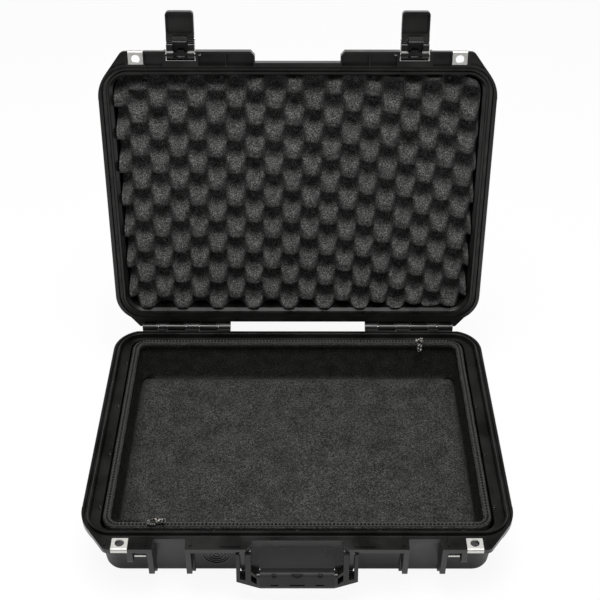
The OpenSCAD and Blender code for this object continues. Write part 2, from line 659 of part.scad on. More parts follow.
module lid_foam() color(foam_grey) lid_pose() {
    nx = 56;
    ny = 38;
    pts = [for (j = [0:ny], i = [0:nx])
        let (p = to_corner((rim_x + foam_r) * (2 * i / nx - 1),
                           (rim_y + foam_r) * (2 * j / ny - 1), foam_r))
        [p[0], p[1], foam_z(p[0], p[1])]];
    loop = concat([for (i = [0:nx - 1]) i], [for (j = [0:ny - 1]) j * (nx + 1) + nx],
        [for (i = [nx:-1:1]) ny * (nx + 1) + i], [for (j = [ny:-1:1]) j * (nx + 1)]);
    m = len(pts);
    n = len(loop);
    rings = len(foam_back);
    polyhedron(
        concat(pts, [for (f = foam_back, k = loop) [
            drawn_in(pts[k][0], rim_x, f[0]), drawn_in(pts[k][1], rim_y, f[0]),
            parting_z + lid_h - f[1]]]),
        concat(
            [for (j = [0:ny - 1], i = [0:nx - 1], t = [0, 1])
                let (a = j * (nx + 1) + i, b = a + 1, c = b + nx + 1, d = a + nx + 1)
                t == 0 ? [a, b, c] : [a, c, d]],
            [for (k = [0:n - 1]) [loop[k], m + k, m + (k + 1) % n, loop[(k + 1) % n]]],
            [for (r = [1:rings - 1], k = [0:n - 1], t = [0, 1])
                let (a = m + (r - 1) * n + k, b = m + (r - 1) * n + (k + 1) % n)
                t == 0 ? [a, a + n, b + n] : [a, b + n, b]],
            [[for (k = [n - 1:-1:0]) m + (rings - 1) * n + k]]));
}

// ---- lining of the base ----------------------------------------------------------------

// Foam tub with an open top, which stands inside the base and widens to a band at its top.
module liner() color(foam_grey) {
    z0 = floor_z + 0.1;
    band_in = liner_r - liner_band;
    ring(liner_x, liner_y) polygon([
        [0, z0], [liner_in, z0], [17, z0 + 4], [liner_r, liner_top - 1],
        [liner_r - 1, liner_top], [band_in + 1, liner_top], [band_in, liner_top - 1],
        [band_in, liner_top - 7], [liner_in, liner_top - 10], [liner_in, z0 + 3], [0, z0 + 3]]);
    translate([-liner_x, -liner_y, z0]) cube([2 * liner_x, 2 * liner_y, 3]);
}

module floor_pad() color(foam_grey)
    block(liner_x, liner_y, liner_in - gap, floor_z + 3.1, floor_z + 8.5);

// Woven tape and teeth of the zipper along the top of the liner.
module zipper_tape() color(shell_black) ring(liner_x, liner_y) polygon([
    [zip_r - 2.8, liner_top], [zip_r + 2.8, liner_top], [zip_r + 2.8, zip_z], [zip_r - 2.8, zip_z]]);

module zipper_teeth() color(shell_black) ring(liner_x, liner_y) polygon([
    [zip_r - 1.3, zip_z], [zip_r + 1.3, zip_z], [zip_r + 1.1, zip_z + 1.2], [zip_r - 1.1, zip_z + 1.2]]);

// Places a slider part: s is -1 for the front slider, 1 for the back one. Its foot is at Z 0,
// and its X runs along the zipper.
module slider_pose(s) {
    translate([s * slider_x, s * (liner_y + zip_r), zip_z + 0.15]) children();
}

// Places what stands on a slider's lug: along the zipper in front, and across it at the back.
module lug_pose(s) {
    translate([0, s > 0 ? -lug_shift : 0, 0]) rotate([0, 0, s < 0 ? 90 : 0]) children();
}

// Slider: a body over the teeth, with a lug on top for the pull.
module zip_slider(s) color(steel_grey) slider_pose(s) difference() {
    union() {
        along_x(-5, 5, rounded([[-3.8, 0, 0.6], [3.8, 0, 0.6], [3.8, slider_h, 1.2],
            [-3.8, slider_h, 1.2]]));
        // lug across the pull's pin
        lug_pose(s) along_x(-1.1, 1.1, rounded([
            [-2.2, slider_h - 1, 0], [2.2, slider_h - 1, 0], [1.6, bail_z + 1.6, 1],
            [-1.6, bail_z + 1.6, 1]]));
    }
    translate([-6, -1.3 - gap, -1]) cube([12, 2.6 + 2 * gap, 1 + 1.2 + gap]);
    lug_pose(s) translate([0, 0, bail_z]) rod_x(-5, 5, bail_pin_r);
}

// Pull: two cheeks beside the lug, a pin through it and a flat tab.
module zip_pull(s) color(steel_grey) slider_pose(s) lug_pose(s)
    translate([0, 0, bail_z]) rotate([s > 0 ? pull_hang : 0, 0, 0]) {
        rod_x(-2.6, 2.6, bail_pin_r - run);
        for (x = [-2.9, 1.4]) {
            rod_x(x, x + 1.5, 1.3);
            translate([x, -7, -0.7]) cube([1.5, 7, 1.4]);
        }
        translate([0, -pull_len / 2 - 2.5, -0.7]) plate(5.8, pull_len - 5, 1.4, 2);
    }

// ---- latches ---------------------------------------------------------------------------

// Places a latch part drawn shut, with its pivot at the origin and its inner side towards +Y.
module latch_pose(s) {
    lid_pose() translate([s * latch_x, latch_y, latch_z]) rotate([-latch_open, 0, 0]) children();
}

// Body of a latch: a barrel on the pivot pin, a plate with side walls, and a knuckle with the
// nose that hooks under the base's rim.
module latch_body(s) color(shell_black) latch_pose(s) difference() {
    union() {
        rod_x(-latch_w / 2, latch_w / 2, barrel_r);
        along_x(-latch_w / 2, latch_w / 2, rounded([
            [-barrel_r, 0, 0], [-6.5, -trigger_drop + 4, 1], [-3, -trigger_drop + 4, 1], [-1.5, 0, 0]]));
        for (x = [-latch_w / 2, latch_w / 2 - 8]) along_x(x, x + 8, rounded([
            [-5.2, 0, 0], [-6, -trigger_drop + 4, 1], [4.2, -trigger_drop + 5, 2], [5.2, 0, 0]]));
        // knuckle round the trigger pin, with the nose
        translate([0, trigger_y, -trigger_drop]) rod_x(-trigger_knuckle, trigger_knuckle, 4.6);
        along_x(-trigger_knuckle, trigger_knuckle, rounded([
            [-6, -trigger_drop + 7, 0], [-6, -trigger_drop, 1], [2, -trigger_drop - 4.4, 1],
            [12.6, -trigger_drop - 0.6, 1.2], [12.6, -trigger_drop + 1.6, 0.8],
            [3, -trigger_drop + 1.6, 1], [0, -trigger_drop + 7, 0]]));
    }
    // window in the inner side, with a block standing in it
    difference() {
        union() {
            translate([-9, 3.4, -14]) cube([18, 10, 16.5]);
            translate([-9, -1.2, -14]) cube([18, 12, 10]);
        }
        translate([-4.5, -10, -11]) cube([9, 13.4, 9]);
    }
    // slot above the pivot
    translate([0, 0, 3.66]) rotate([-29, 0, 0]) cube([10, 30, 1.3], center = true);
    rod_x(-latch_w / 2 - 1, latch_w / 2 + 1, latch_pin_r + run);
    // bore of the trigger pin, with the spring's room in the middle
    translate([0, trigger_y, -trigger_drop]) {
        rod_x(-latch_w, latch_w, trigger_pin_r);
        rod_x(-spring_half, spring_half, spring_r + 0.15);
    }
}

module latch_pin(s) color(steel_grey) latch_pose(s)
    rod_x(-ear_half - ear_t + 0.4, ear_half + ear_t - 0.4, latch_pin_r);

// Trigger: a shallow tray with round corners on two ears, which runs on the trigger pin.
module latch_trigger(s) color(shell_black) latch_pose(s) {
    tray_top = -trigger_drop - 5;
    tray_h = latch_len + tray_top;
    difference() {
        union() {
            translate([0, trigger_y, -trigger_drop])
                for (s2 = [-1, 1]) rod_x(s2 > 0 ? trigger_knuckle + gap : -latch_w / 2 + 0.1,
                    s2 > 0 ? latch_w / 2 - 0.1 : -trigger_knuckle - gap, 4);
            for (s2 = [-1, 1]) along_x(s2 > 0 ? trigger_knuckle + gap : -latch_w / 2 + 0.1,
                s2 > 0 ? latch_w / 2 - 0.1 : -trigger_knuckle - gap,
                [[trigger_y - 4, -trigger_drop], [-7.5, tray_top - 3], [0.5, tray_top - 3],
                 [trigger_y + 4, -trigger_drop]]);
            // rim of the tray
            translate([0, 0.5, tray_top - tray_h / 2]) rotate([90, 0, 0])
                plate(latch_w - 0.2, tray_h, 8, 4.5);
        }
        translate([0, 1, tray_top - tray_h / 2]) rotate([90, 0, 0])
            plate(latch_w - 4.2, tray_h - 4, 5.5, 3);
        translate([0, trigger_y, -trigger_drop]) {
            rod_x(-latch_w, latch_w, trigger_pin_r + run);
            rod_x(-trigger_knuckle - gap, trigger_knuckle + gap, 5);
        }
    }
}

module trigger_pin(s) color(steel_grey) latch_pose(s)
    translate([0, trigger_y, -trigger_drop])
        rod_x(s < 0 ? -latch_w / 2 + 1 : -18.9, s < 0 ? 18.9 : latch_w / 2 - 1, trigger_pin_r);

// Torsion spring on the trigger pin, wound close inside the knuckle.
module trigger_spring(s) color(steel_grey) latch_pose(s)
    translate([-spring_half + 0.3, trigger_y, -trigger_drop]) rotate([0, 90, 0])
        rotate_extrude(convexity = 4) polygon(concat(
            [[trigger_pin_r + 0.15, 0]],
            [for (k = [0:11], t = [[0, spring_r - 0.45], [0.55, spring_r]])
                [t[1], 0.25 + 0.95 * k + t[0]]],
            [[trigger_pin_r + 0.15, 11.4]]));

base_shell();
lid_shell();
lid_gasket();
hinge_pin(-1);  // hinge_pin_left
hinge_pin(1);  // hinge_pin_right
base_hasp(-1);  // base_hasp_left
base_hasp(1);  // base_hasp_right
lid_hasp(-1);  // lid_hasp_left
lid_hasp(1);  // lid_hasp_right
latch_body(-1);  // latch_body_left
latch_body(1);  // latch_body_right
latch_pin(-1);  // latch_pin_left
latch_pin(1);  // latch_pin_right
latch_trigger(-1);  // latch_trigger_left
latch_trigger(1);  // latch_trigger_right
trigger_pin(-1);  // trigger_pin_left
trigger_pin(1);  // trigger_pin_right
trigger_spring(-1);  // trigger_spring_left
trigger_spring(1);  // trigger_spring_right
handle_frame();
handle_grip();
handle_pin(-1);  // handle_pin_left
handle_pin(1);  // handle_pin_right
valve_housing();
valve_cap();
valve_seal();
valve_nut();
lid_foam();
liner();
floor_pad();
zipper_tape();
zipper_teeth();
zip_slider(-1);  // zip_slider_front
zip_slider(1);  // zip_slider_back
zip_pull(-1);  // zip_pull_front
zip_pull(1);  // zip_pull_back
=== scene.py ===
"""Dressed model of an open watertight carrying case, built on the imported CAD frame.

Lengths in the classes are millimetres in the frame of the part's source; they become metres when
a mesh is made. What belongs to the lid is drawn with the lid shut, and LID_OPEN swings it open.
"""
import logging
import math
from collections.abc import Callable, Iterable, Sequence
from dataclasses import dataclass, field
from enum import Enum

import bpy
from mathutils import Euler, Matrix, Vector, noise


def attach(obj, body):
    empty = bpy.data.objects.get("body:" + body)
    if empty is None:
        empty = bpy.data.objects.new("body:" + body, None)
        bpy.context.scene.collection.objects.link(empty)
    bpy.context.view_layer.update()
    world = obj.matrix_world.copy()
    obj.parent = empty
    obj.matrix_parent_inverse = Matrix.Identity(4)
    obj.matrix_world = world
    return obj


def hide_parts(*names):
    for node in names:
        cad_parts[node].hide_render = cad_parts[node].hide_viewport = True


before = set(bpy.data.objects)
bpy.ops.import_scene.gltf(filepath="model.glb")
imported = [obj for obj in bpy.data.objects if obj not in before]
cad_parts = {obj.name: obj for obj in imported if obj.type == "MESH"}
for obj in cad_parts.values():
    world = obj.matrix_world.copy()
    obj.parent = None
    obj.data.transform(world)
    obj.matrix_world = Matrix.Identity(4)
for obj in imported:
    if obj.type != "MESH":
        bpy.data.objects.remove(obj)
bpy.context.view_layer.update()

log = logging.getLogger("carrying_case")

MM = 0.001
PARTING_Z = 87.5  # plane between base and lid
HINGE_Y = 199.0  # axis of the lid's hinges
HINGE_Z = 86.0
RIM_X = 220.0  # centres of the round corners of the rims
RIM_Y = 150.0
LINER_X = 214.0  # centres of the round corners of the tub
LINER_Y = 152.0
LINER_TOP = 85.5
FLOOR_Z = 9.0  # floor inside the base shell
SOFT_SEGMENTS = 2
SOFT_ANGLE = math.radians(35)  # edges sharper than this are rounded
FEWEST_STEPS = 2  # along a side, and round a corner
FEWEST_TURNS = 6

Point = tuple[float, float, float]
Face = tuple[int, ...]
Shape = tuple[list[Point], list[Face]]
Outline = Sequence[tuple[float, float]]
Station = tuple[float, float, float, float]
Stops = Sequence[tuple[float, str]]
HINGE = Vector((0.0, HINGE_Y, HINGE_Z)) * MM
LID_ANGLE = math.radians(-100.0)
LID_OPEN = (
    Matrix.Translation(HINGE) @ Matrix.Rotation(LID_ANGLE, 4, "X") @ Matrix.Translation(-HINGE)
)


class Body(Enum):
    """CAD bodies that new pieces ride on."""

    BASE = "base"
    LID = "lid"
    HANDLE = "handle"


# ---- colour and nodes ----------------------------------------------------------------------


def linear(hex_colour: str) -> tuple[float, float, float, float]:
    """Turns an sRGB hex colour into linear RGBA.

    Args:
        hex_colour: colour such as "#1c1c1c".

    Returns:
        Linear red, green, blue and an alpha of 1.
    """
    channels = [int(hex_colour[k : k + 2], 16) / 255 for k in (1, 3, 5)]
    r, g, b = (c / 12.92 if c <= 0.04045 else ((c + 0.055) / 1.055) ** 2.4 for c in channels)
    return (r, g, b, 1.0)


def add_node(
    tree: bpy.types.NodeTree,
    kind: str,
    inputs: dict[str | int, object] | None = None,
    stops: Stops = (),
    **settings: object,
) -> bpy.types.Node:
    """Adds one node with its settings, values and links.

    Args:
        tree: node tree that gets the node.
        kind: Blender's type name of the shader node, after its ShaderNode.
        inputs: input name or number to a value, or to the node or output socket that feeds it.
        stops: places of a colour ramp's colours with their sRGB hex values, lowest first.
        **settings: properties of the node itself.

    Returns:
        The new node.
    """
    made = tree.nodes.new("ShaderNode" + kind)
    for name, value in settings.items():
        setattr(made, name, value)
    for key, value in (inputs or {}).items():
        if isinstance(value, bpy.types.Node):
            value = value.outputs[0]
        if isinstance(value, bpy.types.NodeSocket):
            tree.links.new(value, made.inputs[key])
        else:
            made.inputs[key].default_value = value
    for count, (place, colour) in enumerate(stops):
        band = made.color_ramp.elements
        stop = band[count] if count < len(band) else band.new(place)
        stop.position = place
        stop.color = linear(colour)
    return made


def per_metre(size_mm: float) -> float:
    """Texture scale for a pattern whose cells are size_mm across."""
    return 1.0 / (size_mm * MM)


def blank_material(name: str) -> tuple[bpy.types.Material, bpy.types.NodeTree]:
    """Makes a material with an empty node tree.

    Args:
        name: name of the material.

    Returns:
        The material and its tree.
    """
    material = bpy.data.materials.new(name)
    material.use_nodes = True
    material.node_tree.nodes.clear()
    return material, material.node_tree


# ---- finishes ------------------------------------------------------------------------------


@dataclass(frozen=True)
class MouldedPolypropylene:
    """Polypropylene moulded in a spark-eroded tool.

    To the eye it is black and satin: the even grain spreads each reflection into a soft sheen, the
    flow of the plastic leaves faint cloudy patches, and handling polishes the high spots a little.
    """

    name: str
    dark: str = "#0b0b0a"
    light: str = "#151514"
    roughness: float = 0.31
    grain_mm: float = 1.1  # the real grain is about 0.15 mm; drawn as coarse as it needs to show
    grain_height: float = 0.18
    grain_depth_mm: float = 0.08
    cloud_mm: float = 38.0

    def build(self) -> bpy.types.Material:
        """Makes the material.

        Returns:
            The material.
        """
        material, tree = blank_material(self.name)
        place = add_node(tree, "TexCoord").outputs["Object"]
        cloud = add_node(
            tree, "TexNoise", {"Vector": place, "Scale": per_metre(self.cloud_mm), "Detail": 4.0}
        )
        grain = add_node(
            tree, "TexNoise", {"Vector": place, "Scale": per_metre(self.grain_mm), "Detail": 2.0}
        )
        colour = add_node(
            tree, "ValToRGB", {"Fac": cloud}, [(0.35, self.dark), (0.65, self.light)]
        )
        gloss = add_node(
            tree,
            "MapRange",
            {"Value": cloud, "From Min": 0.35, "From Max": 0.65,
             "To Min": self.roughness - 0.05, "To Max": self.roughness + 0.07},
        )
        relief = add_node(
            tree,
            "Bump",
            {"Height": grain, "Strength": self.grain_height, "Distance": self.grain_depth_mm * MM},
        )
        shader = add_node(
            tree,
            "BsdfPrincipled",
            {"Base Color": colour, "Roughness": gloss, "Normal": relief, "IOR": 1.49},
        )
        add_node(tree, "OutputMaterial", {"Surface": shader})
        return material


@dataclass(frozen=True)
class Elastomer:
    """Soft moulded rubber or sponge seal.

    To the eye it is dead matt: the pebbled skin has no highlight, and a faint pale bloom of wax
    lies on it in patches.
    """

    name: str
    dark: str = "#141413"
    light: str = "#232321"
    roughness: float = 0.62
    pebble_mm: float = 1.3  # real pebbling is about 0.4 mm; drawn as coarse as it needs to show
    pebble_height: float = 0.5
    pebble_depth_mm: float = 0.15
    bloom_mm: float = 18.0

    def build(self) -> bpy.types.Material:
        """Makes the material.

        Returns:
            The material.
        """
        material, tree = blank_material(self.name)
        place = add_node(tree, "TexCoord").outputs["Object"]
        bloom = add_node(
            tree, "TexNoise", {"Vector": place, "Scale": per_metre(self.bloom_mm), "Detail": 5.0}
        )
        pebbles = add_node(
            tree, "TexVoronoi", {"Vector": place, "Scale": per_metre(self.pebble_mm)}
        )
        colour = add_node(
            tree, "ValToRGB", {"Fac": bloom}, [(0.35, self.dark), (0.7, self.light)]
        )
        relief = add_node(
            tree,
            "Bump",
            {"Height": pebbles, "Strength": self.pebble_height,
             "Distance": self.pebble_depth_mm * MM},
        )
        shader = add_node(
            tree,
            "BsdfPrincipled",
            {"Base Color": colour, "Roughness": self.roughness, "Normal": relief, "IOR": 1.52},
        )
        add_node(tree, "OutputMaterial", {"Surface": shader})
        return material


class Grain(Enum):
    """Stretch of the hairlines of a steel, across x, y and z."""

    ALONG_X = (1.0, 40.0, 40.0)
    ALL_WAYS = (12.0, 12.0, 12.0)


@dataclass(frozen=True)
class StainlessSteel:
    """Stainless steel, rolled to sheet or drawn to wire.

    To the eye it is the one bright thing on the case: pale grey, with a broad soft glare that the
    hairlines of the rolls or the die break up, and a few dull handling marks.
    """

    name: str
    colour: str = "#e4e3df"
    roughness: float = 0.34
    grain: Grain = Grain.ALONG_X
    hairline_mm: float = 12.0  # length of a hairline

    def build(self) -> bpy.types.Material:
        """Makes the material.

        Returns:
            The material.
        """
        material, tree = blank_material(self.name)
        place = add_node(tree, "TexCoord").outputs["Object"]
        stretched = add_node(tree, "Mapping", {"Vector": place, "Scale": self.grain.value})
        lines = add_node(
            tree,
            "TexNoise",
            {"Vector": stretched, "Scale": per_metre(self.hairline_mm), "Detail": 6.0},
        )
        gloss = add_node(
            tree,
            "MapRange",
            {"Value": lines, "From Min": 0.3, "From Max": 0.7,
             "To Min": self.roughness - 0.08, "To Max": self.roughness + 0.12},
        )
        relief = add_node(
            tree, "Bump", {"Height": lines, "Strength": 0.25, "Distance": 0.03 * MM}
        )
        shader = add_node(
            tree,
            "BsdfPrincipled",
            {"Base Color": linear(self.colour), "Metallic": 1.0, "Roughness": gloss,
             "Normal": relief},
        )
        add_node(tree, "OutputMaterial", {"Surface": shader})
        return material


@dataclass(frozen=True)
class EnamelledZinc:
    """Die-cast zinc under thin stoved enamel.

    To the eye it is small, black and glossy, with edges that the paint has rounded and bright
    specks where it has worn through.
    """

    name: str
    enamel: str = "#1a1a1a"
    worn: str = "#a8a69f"
    wear_mm: float = 2.2

    def build(self) -> bpy.types.Material:
        """Makes the material.

        Returns:
            The material.
        """
        material, tree = blank_material(self.name)
        place = add_node(tree, "TexCoord").outputs["Object"]
        wear = add_node(
            tree, "TexNoise", {"Vector": place, "Scale": per_metre(self.wear_mm), "Detail": 3.0}
        )
        colour = add_node(
            tree, "ValToRGB", {"Fac": wear}, [(0.54, self.enamel), (0.62, self.worn)]
        )
        gloss = add_node(
            tree,
            "MapRange",
            {"Value": wear, "From Min": 0.3, "From Max": 0.7, "To Min": 0.18, "To Max": 0.4},
        )
        shader = add_node(
            tree,
            "BsdfPrincipled",
            {"Base Color": colour, "Roughness": gloss, "IOR": 1.5, "Coat Weight": 0.3},
        )
        add_node(tree, "OutputMaterial", {"Surface": shader})
        return material


@dataclass(frozen=True)
class OpenCellFoam:
    """Polyurethane foam, cut so that its cells stand open.

    To the eye it is soft charcoal grey without gloss: every cell is a dark pit in a paler web, so
    the surface is speckled all over; the dark of the pits is painted shade in the open cells. The
    dye lies a little unevenly.
    """

    name: str
    # pit: painted shade in the open cells
    pit: str = "#161616"
    body: str = "#404040"
    web: str = "#7a7a78"
    cell_mm: float = 1.6  # real cells are about 0.8 mm; drawn as coarse as they need to show
    mottle_mm: float = 9.0
    pit_depth_mm: float = 0.5

    def build(self) -> bpy.types.Material:
        """Makes the material.

        Returns:
            The material.
        """
        material, tree = blank_material(self.name)
        place = add_node(tree, "TexCoord").outputs["Object"]
        cells = add_node(
            tree,
            "TexNoise",
            {"Vector": place, "Scale": per_metre(self.cell_mm), "Detail": 2.0, "Roughness": 0.8},
        )
        mottle = add_node(
            tree, "TexNoise", {"Vector": place, "Scale": per_metre(self.mottle_mm), "Detail": 3.0}
        )
        # the pit colour of the speckle is painted shade in the open cells
        speckle = add_node(
            tree,
            "ValToRGB",
            {"Fac": cells},
            [(0.34, self.pit), (0.5, self.body), (0.66, self.web)],
        )
        shade = add_node(
            tree, "ValToRGB", {"Fac": mottle}, [(0.3, "#cdcdcd"), (0.7, "#ffffff")]
        )
        # inputs 6 and 7 and output 2 of a mix node are its colours
        colour = add_node(
            tree, "Mix", {0: 1.0, 6: speckle, 7: shade}, data_type="RGBA", blend_type="MULTIPLY"
        )
        relief = add_node(
            tree, "Bump", {"Height": cells, "Strength": 0.9, "Distance": self.pit_depth_mm * MM}
        )
        shader = add_node(
            tree,
            "BsdfPrincipled",
            {"Base Color": colour.outputs[2], "Roughness": 1.0, "Normal": relief, "IOR": 1.3,
             "Specular IOR Level": 0.1},
        )
        add_node(tree, "OutputMaterial", {"Surface": shader})
        return material


@dataclass(frozen=True)
class WovenPolyester:
    """Zipper tape woven from polyester yarn.

    To the eye it is dark grey and dry, ribbed by its crossed threads.
    """

    name: str
    dark: str = "#1c1c1b"
    light: str = "#4b4b48"
    thread_mm: float = 1.1  # real threads are 0.35 mm apart; drawn as coarse as they need to show

    def build(self) -> bpy.types.Material:
        """Makes the material.

        Returns:
            The material.
        """
        material, tree = blank_material(self.name)
        place = add_node(tree, "TexCoord").outputs["Object"]
        # a wave texture of scale 1 repeats every pi / 10 of a unit
        wave_scale = per_metre(self.thread_mm) * math.pi / 10
        warp, weft = (
            add_node(
                tree,
                "TexWave",
                {"Vector": place, "Scale": wave_scale, "Distortion": 1.5, "Detail": 2.0},
                bands_direction=way,
            ).outputs["Fac"]
            for way in ("X", "Y")
        )
        weave = add_node(tree, "Math", {0: warp, 1: weft}, operation="MULTIPLY")
        colour = add_node(
            tree, "ValToRGB", {"Fac": weave}, [(0.1, self.dark), (0.8, self.light)]
        )
        relief = add_node(
            tree, "Bump", {"Height": weave, "Strength": 0.6, "Distance": 0.2 * MM}
        )
        shader = add_node(
            tree,
            "BsdfPrincipled",
            {"Base Color": colour, "Roughness": 0.85, "Normal": relief, "IOR": 1.5,
             "Sheen Weight": 0.2},
        )
        add_node(tree, "OutputMaterial", {"Surface": shader})
        return material


Finish = (
    MouldedPolypropylene | Elastomer | StainlessSteel | EnamelledZinc | OpenCellFoam
    | WovenPolyester
)


def made_of(finish: Finish) -> bpy.types.Material:
    """Palette field whose material is made from its finish together with the palette."""
    return field(default_factory=finish.build)


@dataclass(frozen=True)
class Palette:
    """Finishes of the case, made once."""

    shell: bpy.types.Material = made_of(MouldedPolypropylene("moulded_polypropylene"))
    latch: bpy.types.Material = made_of(
        MouldedPolypropylene(
            "satin_polypropylene", "#0f0f0e", "#191918", roughness=0.3, grain_height=0.12
        )
    )
    grip: bpy.types.Material = made_of(
        Elastomer("overmoulded_grip_rubber", "#0e0e0e", "#191918")
    )
    seal: bpy.types.Material = made_of(
        Elastomer("sponge_rubber_seal", "#1b1b1b", "#2e2e2c", roughness=0.8, pebble_mm=1.6)
    )
    plate: bpy.types.Material = made_of(
        StainlessSteel("rolled_stainless_sheet", "#d6d5d1", 0.55, Grain.ALL_WAYS)
    )
    pin: bpy.types.Material = made_of(StainlessSteel("drawn_stainless_wire", "#c9c8c3", 0.28))
    zinc: bpy.types.Material = made_of(EnamelledZinc("enamelled_zinc"))
    # the darkest colour of each foam is painted shade in its open cells
    crate_foam: bpy.types.Material = made_of(OpenCellFoam("convoluted_foam"))
    tub_foam: bpy.types.Material = made_of(
        OpenCellFoam(
            "tub_foam", "#161616", "#30302f", "#565654",
            cell_mm=1.5, mottle_mm=14.0, pit_depth_mm=0.3,
        )
    )
    floor_foam: bpy.types.Material = made_of(
        OpenCellFoam(
            "floor_foam", "#1a1a1a", "#353534", "#60605e",
            cell_mm=1.5, mottle_mm=24.0, pit_depth_mm=0.3,
        )
    )
    tape: bpy.types.Material = made_of(WovenPolyester("woven_zipper_tape"))
    teeth: bpy.types.Material = made_of(
        MouldedPolypropylene(
            "moulded_acetal_teeth", "#060606", "#0d0d0d", roughness=0.3, grain_height=0.05
        )
    )


# ---- mesh helpers --------------------------------------------------------------------------


def add_piece(
    name: str,
    verts: Iterable[Point],
    faces: Iterable[Sequence[int]],
    material: bpy.types.Material,
    body: Body,
    smooth: bool = True,
) -> bpy.types.Object:
    """Makes a mesh object from millimetre points and lets it ride on a body.

    Args:
        name: name of the piece.
        verts: points in millimetres, with the lid shut.
        faces: corner numbers of each face.
        material: finish of the piece.
        body: CAD body that carries it; a piece on the lid is swung open with it.
        smooth: whether faces are shaded smooth.

    Returns:
        The new object.
    """
    mesh = bpy.data.meshes.new(name)
    mesh.from_pydata([Vector(v) * MM for v in verts], [], list(faces))
    if body is Body.LID:
        mesh.transform(LID_OPEN)
    mesh.update()
    mesh.validate()
    mesh.polygons.foreach_set("use_smooth", [smooth] * len(mesh.polygons))
    mesh.materials.append(material)
    piece = bpy.data.objects.new(name, mesh)
    bpy.context.scene.collection.objects.link(piece)
    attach(piece, body.value)
    return piece


def ring_path(half_x: float, half_y: float, radius: float, step: float) -> list[Station]:
    """Stations along a rectangle with round corners, anticlockwise from the right side.

    Args:
        half_x: half the length between corner centres from side to side.
        half_y: half the length between corner centres from front to back.
        radius: distance of the stations from the corner centres.
        step: wanted distance between stations.

    Returns:
        Station x, y and the outward normal's x, y.
    """
    stations = []
    for quarter in range(4):
        angle = math.pi / 2 * quarter
        across, along = (half_x, half_y) if quarter % 2 == 0 else (half_y, half_x)
        c, s = math.cos(angle), math.sin(angle)
        count = max(FEWEST_STEPS, round(2 * along / step))
        for k in range(count):
            px, py = across + radius, -along + 2 * along * k / count
            stations.append((px * c - py * s, px * s + py * c, c, s))
        cx, cy = across * c - along * s, across * s + along * c
        turns = max(FEWEST_TURNS, round(radius * math.pi / 2 / step))
        for k in range(turns):
            turn = angle + math.pi / 2 * k / turns
            nx, ny = math.cos(turn), math.sin(turn)
            stations.append((cx + radius * nx, cy + radius * ny, nx, ny))
    return stations


def sweep_ring(
    half_x: float,
    half_y: float,
    profile: Outline,
    step: float,
    wobble: Callable[[float, float, float], tuple[float, float]] | None = None,
) -> Shape:
    """Sweeps a closed profile round a rectangle with round corners.

    Args:
        half_x: half the length between corner centres from side to side.
        half_y: half the length between corner centres from front to back.
        profile: distances out from the corner centres with their heights, as a closed loop.
        step: distance between stations.
        wobble: gives the outward and upward shift of a point at x, y, z.

    Returns:
        Points and faces.
    """
    mid = 10.0  # radius at which the stations are spaced
    stations = ring_path(half_x, half_y, mid, step)
    verts: list[Point] = []
    for x, y, nx, ny in stations:
        for r, z in profile:
            out, up = wobble(x, y, z) if wobble else (0.0, 0.0)
            verts.append((x + (r - mid + out) * nx, y + (r - mid + out) * ny, z + up))
    n, m = len(stations), len(profile)
    faces = [
        (a * m + b, ((a + 1) % n) * m + b, ((a + 1) % n) * m + (b + 1) % m, a * m + (b + 1) % m)
        for a in range(n)
        for b in range(m)
    ]
    return verts, faces


def turned(centre: Point, profile: Outline, count: int = 20) -> Shape:
    """Turns an open profile round an upright axis.

    Args:
        centre: foot of the axis.
        profile: radii with their heights; the first and last radius may be 0.
        count: steps round the axis.

    Returns:
        Points and faces.
    """
    verts = [
        (centre[0] + r * math.cos(2 * math.pi * k / count),
         centre[1] + r * math.sin(2 * math.pi * k / count), centre[2] + z)
        for r, z in profile
        for k in range(count)
    ]
    faces: list[Face] = [
        (p * count + k, p * count + (k + 1) % count, (p + 1) * count + (k + 1) % count,
         (p + 1) * count + k)
        for p in range(len(profile) - 1)
        for k in range(count)
    ]
    return verts, faces


def joined(parts: Iterable[Shape]) -> Shape:
    """Puts the points and faces of several parts together.

    Args:
        parts: points and faces of each part.

    Returns:
        Points and faces.
    """
    verts: list[Point] = []
    faces: list[Face] = []
    for some_verts, some_faces in parts:
        faces += [tuple(p + len(verts) for p in face) for face in some_faces]
        verts += some_verts
    return verts, faces


def grid_edge(nx: int, ny: int) -> list[int]:
    """Goes round the edge of a grid of points, anticlockwise from above.

    Args:
        nx: cells from side to side.
        ny: cells from front to back.

    Returns:
        Numbers of the points.
    """
    row = nx + 1
    return (
        list(range(nx))
        + [j * row + nx for j in range(ny)]
        + [ny * row + i for i in range(nx, 0, -1)]
        + [j * row for j in range(ny, 0, -1)]
    )


def onto_corner(
    x: float, y: float, half_x: float, half_y: float, radius: float
) -> tuple[float, float]:
    """Draws a point that lies outside a round corner onto the corner's arc.

    Args:
        x: place of the point.
        y: place of the point.
        half_x: x of the corner centres.
        half_y: y of the corner centres.
        radius: radius of the corners.

    Returns:
        The point's new x and y.
    """
    u, v = abs(x) - half_x, abs(y) - half_y
    far = math.hypot(u, v)
    if u > 0 and v > 0 and far > radius:
        x = math.copysign(half_x + u * radius / far, x)
        y = math.copysign(half_y + v * radius / far, y)
    return x, y


def soften(piece: bpy.types.Object, width_mm: float) -> None:
    """Rounds a piece's sharp edges as a mould or a press leaves them.

    Args:
        piece: object that gets the bevel.
        width_mm: width of the rounding.
    """
    bevel = piece.modifiers.new("softened_edges", "BEVEL")
    bevel.width = width_mm * MM
    bevel.segments = SOFT_SEGMENTS
    bevel.limit_method = "ANGLE"
    bevel.angle_limit = SOFT_ANGLE
    bevel.use_clamp_overlap = True


# ---- the lid's foam ------------------------------------------------------------------------


